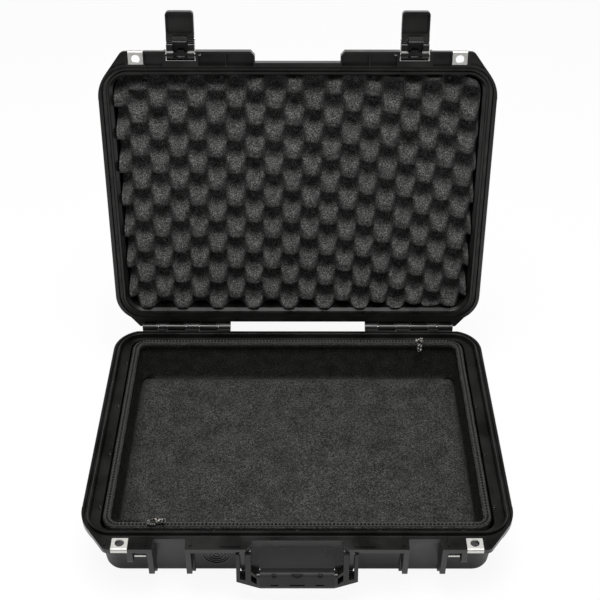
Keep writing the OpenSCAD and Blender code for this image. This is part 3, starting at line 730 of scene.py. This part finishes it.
@dataclass
class ConvolutedFoam:
    """Egg-crate foam pressed into the lid, cut a little crooked, its crests towards the rim."""

    edge_r: float = 20.2
    crest_z: float = 2.0
    depth: float = 25.0
    column: float = 25.66
    row: float = 23.84
    first_column: float = -217.6
    first_row: float = 78.3
    slant: float = 0.0223
    spread: float = 0.00062
    spread_from: float = 200.0
    # sag of the rows: with x, its square and its cube, and with the square of d past sag_from
    sag: tuple[float, float, float, float] = (0.0316, 1.16e-4, 2.3e-7, 3.3e-4)
    sag_from: float = 250.0
    lump_size: float = 26.0
    lump_height: float = 1.3
    clearance: float = 0.3
    hang: float = 6.0
    cut_start: float = 348.0
    cut_slope: float = 0.79
    cut_end: float = -82.0
    cut_rise: float = 1.6
    cut_fade: float = 6.0
    edge_fade: float = 14.0
    wall_steps: int = 5
    cells_x: int = 250
    cells_y: int = 230
    # rounded back of the sheet: distance from the corner centres and height above the parting plane
    back: tuple[tuple[float, float], ...] = (
        (20.2, 30.0), (20.2, 31.5), (17.2, 35.5), (11.2, 39.4), (6.0, 40.4)
    )

    def crest(self, x: float, d: float) -> float:
        """How much of a crest stands at a place: 1 on top of a crest, 0 at the foot of a pit.

        Args:
            x: place from side to side.
            d: distance forward from the hinge axis.

        Returns:
            Share of the relief's depth.
        """
        # the sheet was pressed in a little askew, and its rows sag to the right and to the front
        column = self.column + self.spread * (d - self.spread_from)
        u = (x - self.first_column - self.slant * d) / column
        s1, s2, s3, ahead = self.sag
        sag = s1 * x + s2 * x * x + s3 * x**3 + ahead * max(0.0, d - self.sag_from) ** 2
        v = (d + sag - self.first_row) / self.row
        # crests and pits are nearly square, with steep sides between them
        across = math.sin(math.pi / 2 * math.cos(math.pi * u))
        along = math.sin(math.pi / 2 * math.cos(math.pi * v))
        return 0.5 + 0.5 * across * along

    def surface(self, x: float, y: float) -> Point:
        """Point of the foam's face over a place in the sheet's plan; the crests hang to the hinge.

        Args:
            x: place from side to side.
            y: place from front to back.

        Returns:
            The point.
        """
        d = HINGE_Y - y
        crest = self.crest(x, d)
        lump = self.lump_height * noise.noise(
            Vector((x / self.lump_size, d / self.lump_size, 0.0))
        )
        # the pits are lumpier than the crests
        z = self.crest_z + self.depth * (1.0 - crest) + lump * (1.2 - crest) + self.clearance
        # the front edge was cut short on a slant on the left
        kept = max(0.0, (x - self.cut_end) / self.cut_rise)
        cut = 1.0 + (d - self.cut_start) / self.cut_slope - kept
        inside = min(1.0, max(0.0, (RIM_Y + self.edge_r - abs(y)) / self.edge_fade))
        inside *= min(1.0, max(0.0, 1.0 + (z - cut) / self.cut_fade))
        return x, y + self.hang * crest * inside, PARTING_Z + max(z, cut)

    def plan(self, i: int, j: int, r: float) -> tuple[float, float]:
        """Place of a grid point.

        Args:
            i: number of the point from side to side.
            j: number of the point from front to back.
            r: distance of the sheet's edge from the corner centres.

        Returns:
            The point's x and y.
        """
        x = (RIM_X + r) * (2 * i / self.cells_x - 1)
        y = (RIM_Y + r) * (2 * j / self.cells_y - 1)
        return onto_corner(x, y, RIM_X, RIM_Y, r)

    def build(self, palette: Palette) -> bpy.types.Object:
        """Builds the sheet and lets it stand for the CAD foam.

        Args:
            palette: finishes.

        Returns:
            The foam.
        """
        nx, ny = self.cells_x, self.cells_y
        verts: list[Point] = []
        for j in range(ny + 1):
            for i in range(nx + 1):
                verts.append(self.surface(*self.plan(i, j, self.edge_r)))
        row = nx + 1
        faces: list[Face] = [
            (j * row + i, (j + 1) * row + i, (j + 1) * row + i + 1, j * row + i + 1)
            for j in range(ny)
            for i in range(nx)
        ]
        rim = edge = grid_edge(nx, ny)
        face_z = [verts[p][2] - PARTING_Z for p in edge]
        lowest = self.back[0][1]
        # the wall goes down evenly from the wavy face to the back's first level
        steps = self.wall_steps
        levels = [(self.edge_r, None, k / steps) for k in range(1, steps)]
        levels += [(r, z, 1.0) for r, z in self.back]
        for r, level, share in levels:
            start = len(verts)
            for p, z0 in zip(edge, face_z):
                z = level if level is not None else z0 + (lowest - z0) * share
                x, y = self.plan(p % row, p // row, r)
                verts.append((x, y, PARTING_Z + z))
            ring = list(range(start, start + len(edge)))
            n = len(edge)
            faces += [(rim[a], rim[(a + 1) % n], ring[(a + 1) % n], ring[a]) for a in range(n)]
            rim = ring
        faces.append(tuple(reversed(rim)))
        piece = add_piece("convoluted_foam", verts, faces, palette.crate_foam, Body.LID)
        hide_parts("lid_foam")
        return piece


# ---- the base's lining ---------------------------------------------------------------------


@dataclass
class FoamTub:
    """Foam tub in the base: thin walls that widen to a band of two rolled edges with a groove."""

    outer_r: float = 19.6
    band: float = 9.8
    wall_in: float = 13.2
    foot_r: float = 17.0
    roll: float = 1.6
    groove_z: float = LINER_TOP - 1.2
    middle_r: float = -40.0  # the floor's inner edge, hidden under the pad

    def profile(self) -> list[tuple[float, float]]:
        """Closed profile of the wall and its band, from the floor up outside and down inside.

        Returns:
            Distances from the corner centres with their heights.
        """
        inner = self.outer_r - self.band
        z0 = FLOOR_Z + 0.1
        rise = LINER_TOP - 6 - z0
        points = [(self.middle_r, z0), (self.foot_r - 4, z0), (self.foot_r, z0 + 4)]
        points += [
            (self.foot_r + (self.outer_r - self.foot_r) * k / 4, z0 + 4 + rise * k / 4)
            for k in range(1, 4)
        ]
        for centre in (self.outer_r - self.roll, inner + self.roll):
            points += [
                (centre + self.roll * math.cos(math.pi * k / 8),
                 LINER_TOP - self.roll + self.roll * math.sin(math.pi * k / 8))
                for k in range(9)
            ]
            if centre > inner + 2 * self.roll:
                points += [(self.outer_r - 2 * self.roll - 0.3, self.groove_z),
                           (inner + 2 * self.roll + 0.3, self.groove_z)]
        points += [(inner, LINER_TOP - 6.5), (self.wall_in - 0.6, LINER_TOP - 9.5)]
        drop = LINER_TOP - 15 - z0
        points += [(self.wall_in, LINER_TOP - 12 - drop * k / 6) for k in range(7)]
        points += [(self.middle_r, z0 + 3)]
        return points

    @staticmethod
    def unevenness(x: float, y: float, z: float) -> tuple[float, float]:
        """Small waves of the soft walls and edges.

        Args:
            x: place of the point.
            y: place of the point.
            z: height of the point.

        Returns:
            Outward and upward shift.
        """
        height = max(0.0, (z - 25.0) / 60.0)
        bulge = abs(noise.noise(Vector((x / 45.0, y / 45.0, z / 60.0))))
        dip = abs(noise.noise(Vector((x / 30.0, y / 30.0, 7.0))))
        return -0.5 * bulge * min(1.0, height * 2), -0.35 * dip * height

    def build(self, palette: Palette) -> bpy.types.Object:
        """Builds the tub and lets it stand for the CAD liner.

        Args:
            palette: finishes.

        Returns:
            The tub.
        """
        verts, faces = sweep_ring(LINER_X, LINER_Y, self.profile(), 6.0, self.unevenness)
        piece = add_piece("foam_tub", verts, faces, palette.tub_foam, Body.BASE)
        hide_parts("liner")
        return piece


@dataclass
class FloorPad:
    """Loose foam sheet on the tub's floor, a little crowned, with soft edges."""

    edge_r: float = 12.9
    low: float = FLOOR_Z + 3.1
    top: float = FLOOR_Z + 8.5
    edge_drop: float = 1.6
    cells_x: int = 90
    cells_y: int = 66

    def build(self, palette: Palette) -> bpy.types.Object:
        """Builds the pad and lets it stand for the CAD pad.

        Args:
            palette: finishes.

        Returns:
            The pad.
        """
        nx, ny, r = self.cells_x, self.cells_y, self.edge_r
        half_x, half_y = LINER_X + r, LINER_Y + r
        verts: list[Point] = []
        for upper in (True, False):
            for j in range(ny + 1):
                for i in range(nx + 1):
                    # the grid is denser near the edges
                    x = half_x * math.sin((2 * i / nx - 1) * math.pi / 2)
                    y = half_y * math.sin((2 * j / ny - 1) * math.pi / 2)
                    x, y = onto_corner(x, y, LINER_X, LINER_Y, r)
                    inset = min(half_x - abs(x), half_y - abs(y))
                    sink = self.edge_drop * math.exp(-inset / 2.0)
                    swell = 0.35 * (noise.noise(Vector((x / 60, y / 60, 3.0))) - 1.0)
                    verts.append((x, y, self.top - sink + swell if upper else self.low))
        row = nx + 1
        size = row * (ny + 1)
        faces = [
            (j * row + i, j * row + i + 1, (j + 1) * row + i + 1, (j + 1) * row + i)
            for j in range(ny)
            for i in range(nx)
        ]
        faces += [tuple(p + size for p in reversed(face)) for face in list(faces)]
        edge = grid_edge(nx, ny)
        faces += [(a, a + size, b + size, b) for a, b in zip(edge, edge[1:] + edge[:1])]
        piece = add_piece("floor_pad_foam", verts, faces, palette.floor_foam, Body.BASE)
        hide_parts("floor_pad")
        return piece


@dataclass
class Zipper:
    """Half of a coarse zipper sewn into the tub's band: woven tape and moulded teeth."""

    line_r: float = 14.7
    tape_half: float = 2.7
    tape_z: float = LINER_TOP + 0.8
    pitch: float = 4.6
    tooth_length: float = 2.7
    tooth_width: float = 2.6
    tooth_height: float = 1.3
    free_r: float = 9.8
    free_end: float = -182.0

    def tape(self, palette: Palette) -> bpy.types.Object:
        """Builds the tape and lets it stand for the CAD tape.

        Args:
            palette: finishes.

        Returns:
            The tape.
        """
        r, w, z = self.line_r, self.tape_half, self.tape_z
        profile = [(r - w, z - 0.8), (r + w, z - 0.8), (r + w, z - 0.25), (r + w * 0.6, z),
                   (r - w * 0.6, z), (r - w, z - 0.25)]
        verts, faces = sweep_ring(LINER_X, LINER_Y, profile, 5.0)
        piece = add_piece("zipper_tape_woven", verts, faces, palette.tape, Body.BASE)
        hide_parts("zipper_tape")
        return piece

    def tooth(self, station: Station) -> Shape:
        """Makes one tooth with a chamfered head.

        Args:
            station: the tooth's x, y and the outward normal's x, y.

        Returns:
            Points and faces.
        """
        x, y, nx, ny = station
        verts: list[Point] = []
        outline = [(-0.5, -0.5), (0.5, -0.5), (0.5, 0.5), (-0.5, 0.5)]
        for size, level in ((1.0, 0.0), (1.0, 0.6), (0.62, 1.0)):
            for a, b in outline:
                along, out = a * self.tooth_length * size, b * self.tooth_width * size
                verts.append(
                    (x - ny * along + nx * out, y + nx * along + ny * out,
                     self.tape_z - 0.05 + self.tooth_height * level)
                )
        faces: list[Face] = [
            (4 * k + q, 4 * k + (q + 1) % 4, 4 * k + (q + 1) % 4 + 4, 4 * k + q + 4)
            for k in range(2)
            for q in range(4)
        ]
        return verts, faces + [(8, 9, 10, 11), (3, 2, 1, 0)]

    def teeth(self, palette: Palette) -> bpy.types.Object:
        """Builds the teeth, with the free row beside them, and lets them stand for the CAD ridge.

        Args:
            palette: finishes.

        Returns:
            The teeth.
        """
        stations = ring_path(LINER_X, LINER_Y, self.line_r, self.pitch)
        free = int((self.free_end + LINER_X) / self.pitch)
        stations += [
            (-LINER_X + k * self.pitch, -(LINER_Y + self.free_r), 0.0, -1.0) for k in range(free)
        ]
        verts, faces = joined(self.tooth(station) for station in stations)
        piece = add_piece(
            "zipper_teeth_moulded", verts, faces, palette.teeth, Body.BASE, smooth=False
        )
        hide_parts("zipper_teeth")
        return piece

    def build(self, palette: Palette) -> list[bpy.types.Object]:
        """Builds the tape and the teeth."""
        return [self.tape(palette), self.teeth(palette)]


# ---- small fittings ------------------------------------------------------------------------


@dataclass
class RimBosses:
    """Small hollow bosses moulded round the inside of both rims, where the lining is held."""

    radius: float = 2.3
    bore: float = 1.0
    height: float = 1.2
    ledge_z: float = PARTING_Z - 5.0
    lid_z: float = PARTING_Z + 7.6
    front_x: tuple[float, ...] = (-197.0, -98.5, 0.0, 98.5, 197.0)
    side_y: tuple[float, ...] = (-137.0, -50.0, 37.0, 125.0)
    base_front_y: float = -175.0
    base_side_x: float = 239.0
    lid_front_y: float = -170.0

    def boss(self, place: Point, height: float) -> Shape:
        """Makes one boss.

        Args:
            place: foot of the boss.
            height: height of its rim; less than 0 turns it over.

        Returns:
            Points and faces.
        """
        r, b = self.radius, self.bore
        profile = [(r + 0.2, 0.0), (r, 0.25 * height), (r, 0.8 * height), (r - 0.3, height),
                   (b + 0.3, height), (b, 0.8 * height), (b, 0.1 * height), (0.0, 0.05 * height)]
        return turned(place, profile if height > 0 else profile[::-1])

    def build(self, palette: Palette) -> list[bpy.types.Object]:
        """Builds the bosses of the base and of the lid.

        Args:
            palette: finishes.

        Returns:
            The pieces.
        """
        places = [(x, self.base_front_y, self.ledge_z) for x in self.front_x]
        places += [(s * self.base_side_x, y, self.ledge_z) for y in self.side_y for s in (-1, 1)]
        base = add_piece(
            "base_rim_bosses", *joined(self.boss(p, self.height) for p in places),
            palette.shell, Body.BASE,
        )
        lid_places = [(x, self.lid_front_y, self.lid_z) for x in self.front_x]
        lid = add_piece(
            "lid_rim_bosses", *joined(self.boss(p, -self.height) for p in lid_places),
            palette.shell, Body.LID,
        )
        return [base, lid]


@dataclass
class StiffenerStrips:
    """Bare steel strips that stiffen the front flange, seen between two ribs on each side."""

    inner_x: float = 177.0
    outer_x: float = 190.5
    front_y: float = -204.0
    thickness: float = 1.6
    low_z: float = 72.0
    high_z: float = 75.2
    lip: float = 0.5

    def build(self, palette: Palette) -> bpy.types.Object:
        """Builds both strips, pressed with a small rounded lip along the top.

        Args:
            palette: finishes.

        Returns:
            The strips.
        """
        y0, y1, lip = self.front_y, self.front_y + self.thickness, self.lip
        outline = [(y0, self.low_z + lip), (y0 + lip, self.low_z), (y1, self.low_z),
                   (y1, self.high_z), (y0 + lip, self.high_z), (y0, self.high_z - lip)]
        strips = []
        for side in (-1, 1):
            ends = sorted((side * self.inner_x, side * self.outer_x))
            verts = [(x, y, z) for x in ends for y, z in outline]
            n = len(outline)
            faces: list[Face] = [
                (k, k + n, (k + 1) % n + n, (k + 1) % n) for k in range(n)
            ]
            strips.append((verts, faces + [tuple(range(n)), tuple(range(2 * n - 1, n - 1, -1))]))
        piece = add_piece(
            "flange_stiffeners", *joined(strips), palette.plate, Body.BASE, smooth=False
        )
        soften(piece, 0.25)
        return piece


@dataclass
class ForkBacking:
    """Thin webs behind the handle's forks, and the heels of the boss ribs that carry its pivots.

    They close the view between the forks to the floor under the handle.
    """

    pivot_y: float = -197.5
    pivot_z: float = 72.5
    lean: float = math.radians(-18.0)
    # web: outline of x and height along the hanging handle, and its depths there
    web: tuple[tuple[float, float], ...] = (
        (44.6, -31.0), (44.6, -21.5), (60.9, -19.0), (60.9, -30.0)
    )
    web_y: tuple[float, float] = (2.6, 4.3)
    heel_x: tuple[float, float] = (61.7, 66.3)
    # heel: outline of y and z from the pivot
    heel: tuple[tuple[float, float], ...] = (
        (-4.6, -26.5), (-3.4, -31.5), (-1.0, -34.0), (8.0, -36.0), (8.0, -26.5)
    )

    def hang(self, x: float, y: float, z: float) -> Point:
        """Point of the hanging handle in the case's own frame.

        Args:
            x: place along the pivot axis.
            y: depth in the handle.
            z: height in the handle, from its pivot.

        Returns:
            The point.
        """
        c, s = math.cos(self.lean), math.sin(self.lean)
        return x, self.pivot_y + y * c - z * s, self.pivot_z + y * s + z * c

    @staticmethod
    def prism(ends: Sequence[list[Point]]) -> Shape:
        """Joins two outlines with as many points into a closed solid.

        Args:
            ends: the two outlines.

        Returns:
            Points and faces.
        """
        n = len(ends[0])
        faces: list[Face] = [
            (k, (k + 1) % n, (k + 1) % n + n, k + n) for k in range(n)
        ]
        faces += [tuple(range(n - 1, -1, -1)), tuple(range(n, 2 * n))]
        return [*ends[0], *ends[1]], faces

    def build(self, palette: Palette) -> list[bpy.types.Object]:
        """Builds the webs and the heels.

        Args:
            palette: finishes.

        Returns:
            The pieces.
        """
        webs = [
            self.prism([[self.hang(side * x, y, z) for x, z in self.web] for y in self.web_y])
            for side in (-1, 1)
        ]
        heels = [
            self.prism(
                [[(side * x, self.pivot_y + y, self.pivot_z + z) for y, z in self.heel]
                 for x in self.heel_x]
            )
            for side in (-1, 1)
        ]
        pieces = [
            add_piece("handle_fork_webs", *joined(webs), palette.shell, Body.HANDLE, smooth=False),
            add_piece("handle_boss_heels", *joined(heels), palette.shell, Body.BASE, smooth=False),
        ]
        for piece in pieces:
            soften(piece, 0.3)
        return pieces


# ---- parts carried over from the CAD frame --------------------------------------------------


@dataclass
class CarriedParts:
    """CAD nodes whose shape is right: they get their finish, and moulded or pressed edges."""

    rounding: dict[str, float] = field(
        default_factory=lambda: {
            "base_shell": 0.7, "lid_shell": 0.7, "handle_frame": 0.7, "handle_grip": 0.8,
            "latch_body": 0.6, "latch_trigger": 0.7, "base_hasp": 0.25, "lid_hasp": 0.25,
        }
    )

    def finish_of(self, node: str, palette: Palette) -> bpy.types.Material:
        """Finish of a CAD node.

        Args:
            node: name of the node.
            palette: finishes.

        Returns:
            The material.
        """
        table = {
            "base_shell": palette.shell, "lid_shell": palette.shell, "handle_frame": palette.shell,
            "valve_housing": palette.latch, "valve_cap": palette.latch, "valve_nut": palette.latch,
            "latch_body": palette.latch, "latch_trigger": palette.latch,
            "handle_grip": palette.grip, "lid_gasket": palette.seal, "valve_seal": palette.seal,
            "base_hasp": palette.plate, "lid_hasp": palette.plate, "hinge_pin": palette.pin,
            "latch_pin": palette.pin, "trigger_pin": palette.pin, "trigger_spring": palette.pin,
            "handle_pin": palette.pin, "zip_slider": palette.zinc, "zip_pull": palette.zinc,
            "liner": palette.tub_foam, "floor_pad": palette.floor_foam,
            "lid_foam": palette.crate_foam, "zipper_tape": palette.tape,
            "zipper_teeth": palette.teeth,
        }
        return table[next(key for key in table if node == key or node.startswith(key + "_"))]

    def build(self, palette: Palette) -> list[bpy.types.Object]:
        """Dresses every CAD node.

        Args:
            palette: finishes.

        Returns:
            The dressed nodes.
        """
        dressed = []
        for name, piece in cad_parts.items():
            piece.data.materials.clear()
            piece.data.materials.append(self.finish_of(name, palette))
            width = next((w for key, w in self.rounding.items() if name.startswith(key)), 0.0)
            if width:
                soften(piece, width)
            dressed.append(piece)
        return dressed


# ---- stage ---------------------------------------------------------------------------------


@dataclass(frozen=True)
class PhotoCamera:
    """Camera at the photograph's viewpoint, solved from the case's own corners."""

    place: Point = (0.00206, -1.02575, 1.11230)
    pitch_down: float = 38.556
    yaw: float = -0.057
    roll: float = 0.0796
    lens_mm: float = 66.1
    sensor_mm: float = 36.0
    clip_end: float = 20.0

    def build(self) -> bpy.types.Object:
        """Adds the camera and makes it the scene's own.

        Returns:
            The camera.
        """
        data = bpy.data.cameras.new("photo_camera")
        data.sensor_width = self.sensor_mm
        data.lens = self.lens_mm
        data.clip_end = self.clip_end
        camera = bpy.data.objects.new("photo_camera", data)
        aim = Euler((math.radians(90 - self.pitch_down), 0.0, math.radians(self.yaw)))
        spin = Matrix.Rotation(math.radians(self.roll), 4, "Z")
        place = Matrix.Translation(Vector(self.place))
        camera.matrix_world = place @ aim.to_matrix().to_4x4() @ spin
        bpy.context.scene.collection.objects.link(camera)
        bpy.context.scene.camera = camera
        return camera


@dataclass(frozen=True)
class Lamp:
    """One soft area lamp."""

    name: str
    place: Point
    target: Point
    size: float
    watts: float

    def build(self) -> bpy.types.Object:
        """Adds the lamp.

        Returns:
            The lamp.
        """
        data = bpy.data.lights.new(self.name, "AREA")
        data.shape = "DISK"
        data.size = self.size
        data.energy = self.watts
        lamp = bpy.data.objects.new(self.name, data)
        lamp.location = self.place
        aim = Vector(self.target) - Vector(self.place)
        lamp.rotation_euler = aim.to_track_quat("-Z", "Y").to_euler()
        bpy.context.scene.collection.objects.link(lamp)
        return lamp


@dataclass(frozen=True)
class Studio:
    """Pale floor, white backdrop and one soft lamp in a dim room."""

    sky: float = 0.28
    ceiling: float = 0.05
    front: float = 0.2
    floor_white: float = 0.92
    floor_gloss: float = 0.2
    floor_half: float = 1.6
    foot: tuple[float, float] = (0.205, 0.145)
    foot_fade: float = 0.02
    lamps: tuple[Lamp, ...] = (
        Lamp("overhead_softbox", (0.0, -0.3, 2.3), (0.0, 0.0, 0.15), 1.5, 60.0),
    )

    @staticmethod
    def sees_backdrop(tree: bpy.types.NodeTree, in_gloss: float) -> bpy.types.Node:
        """Adds how much of the white backdrop a ray sees.

        Args:
            tree: node tree that gets the nodes.
            in_gloss: share that glossy and transmission rays see; camera rays see all of it.

        Returns:
            The last node.
        """
        ray = add_node(tree, "LightPath")
        shiny = add_node(
            tree,
            "Math",
            {0: ray.outputs["Is Glossy Ray"], 1: ray.outputs["Is Transmission Ray"]},
            operation="MAXIMUM",
        )
        part = add_node(tree, "Math", {0: shiny, 1: in_gloss}, operation="MULTIPLY")
        return add_node(
            tree, "Math", {0: ray.outputs["Is Camera Ray"], 1: part}, operation="MAXIMUM"
        )

    def floor(self) -> bpy.types.Object:
        """Adds the paper floor: white to the camera, with the case's shadow on it.

        Returns:
            The floor.
        """
        mesh = bpy.data.meshes.new("studio_floor")
        far = self.floor_half
        corners = [(-far, -far, 0), (far, -far, 0), (far, far, 0), (-far, far, 0)]
        mesh.from_pydata(corners, [], [(0, 1, 2, 3)])
        floor = bpy.data.objects.new("studio_floor", mesh)
        bpy.context.scene.collection.objects.link(floor)
        material, tree = blank_material("pale_paper_floor")
        paper = add_node(
            tree, "BsdfPrincipled", {"Base Color": linear("#f4f4f4"), "Roughness": 0.9}
        )
        white = add_node(tree, "Emission", {"Strength": 1.0})
        # under the case the paper only shows its own light, so that its shadow stays there
        place = add_node(tree, "TexCoord").outputs["Object"]
        away = add_node(tree, "VectorMath", {0: place}, operation="ABSOLUTE")
        past = add_node(
            tree, "VectorMath", {0: away, 1: (*self.foot, 0.0)}, operation="SUBTRACT"
        )
        parts = add_node(tree, "SeparateXYZ", {0: past})
        reach = add_node(
            tree, "Math", {0: parts.outputs["X"], 1: parts.outputs["Y"]}, operation="MAXIMUM"
        )
        open_floor = add_node(
            tree,
            "MapRange",
            {"Value": reach, "From Min": 0.0, "From Max": self.foot_fade, "To Min": 0.0,
             "To Max": self.floor_white},
        )
        share = add_node(
            tree,
            "Math",
            {0: self.sees_backdrop(tree, self.floor_gloss), 1: open_floor},
            operation="MULTIPLY",
        )
        mixed = add_node(tree, "MixShader", {0: share, 1: paper, 2: white})
        add_node(tree, "OutputMaterial", {"Surface": mixed})
        mesh.materials.append(material)
        return floor

    def room(self) -> None:
        """Adds the world: a white backdrop that fades to a dim ceiling in reflections."""
        world = bpy.data.worlds.new("studio")
        bpy.context.scene.world = world
        world.use_nodes = True
        tree = world.node_tree
        tree.nodes.clear()
        around = add_node(tree, "TexCoord").outputs["Generated"]
        way = add_node(tree, "SeparateXYZ", {0: around})
        behind = add_node(
            tree,
            "MapRange",
            {"Value": way.outputs["Y"], "From Min": -0.3, "From Max": 0.3, "To Min": self.front,
             "To Max": 1.0},
        )
        above = add_node(
            tree,
            "MapRange",
            {"Value": way.outputs["Z"], "From Min": 0.35, "From Max": 0.65, "To Min": 1.0,
             "To Max": self.ceiling},
            interpolation_type="SMOOTHSTEP",
        )
        fade = add_node(tree, "Math", {0: behind, 1: above}, operation="MULTIPLY")
        seen = add_node(tree, "LightPath").outputs["Is Camera Ray"]
        strength = add_node(tree, "Math", {0: fade, 1: seen}, operation="MAXIMUM")
        white = add_node(tree, "Background", {"Strength": strength})
        white.inputs["Color"].default_value = linear("#ffffff")
        dim = add_node(
            tree, "Background", {"Color": linear("#ffffff"), "Strength": self.sky}
        )
        mixed = add_node(
            tree, "MixShader", {0: self.sees_backdrop(tree, 1.0), 1: dim, 2: white}
        )
        add_node(tree, "OutputWorld", {"Surface": mixed})

    def build(self) -> None:
        """Adds the floor, the world and the lamps."""
        bpy.context.scene.view_settings.view_transform = "Standard"
        self.floor()
        self.room()
        for lamp in self.lamps:
            lamp.build()


# ---- assembly ------------------------------------------------------------------------------


def main() -> None:
    """Builds the stage and every sub-assembly in order."""
    logging.basicConfig(level=logging.INFO, format="%(name)s: %(message)s")
    PhotoCamera().build()
    Studio().build()
    palette = Palette()
    for piece in CarriedParts().build(palette):
        log.info("dressed %s", piece.name)
    made = [
        ConvolutedFoam().build(palette),
        FoamTub().build(palette),
        FloorPad().build(palette),
        *Zipper().build(palette),
        *RimBosses().build(palette),
        StiffenerStrips().build(palette),
        *ForkBacking().build(palette),
    ]
    for piece in made:
        log.info("built %s with %d faces", piece.name, len(piece.data.polygons))


if __name__ == "__main__":
    main()
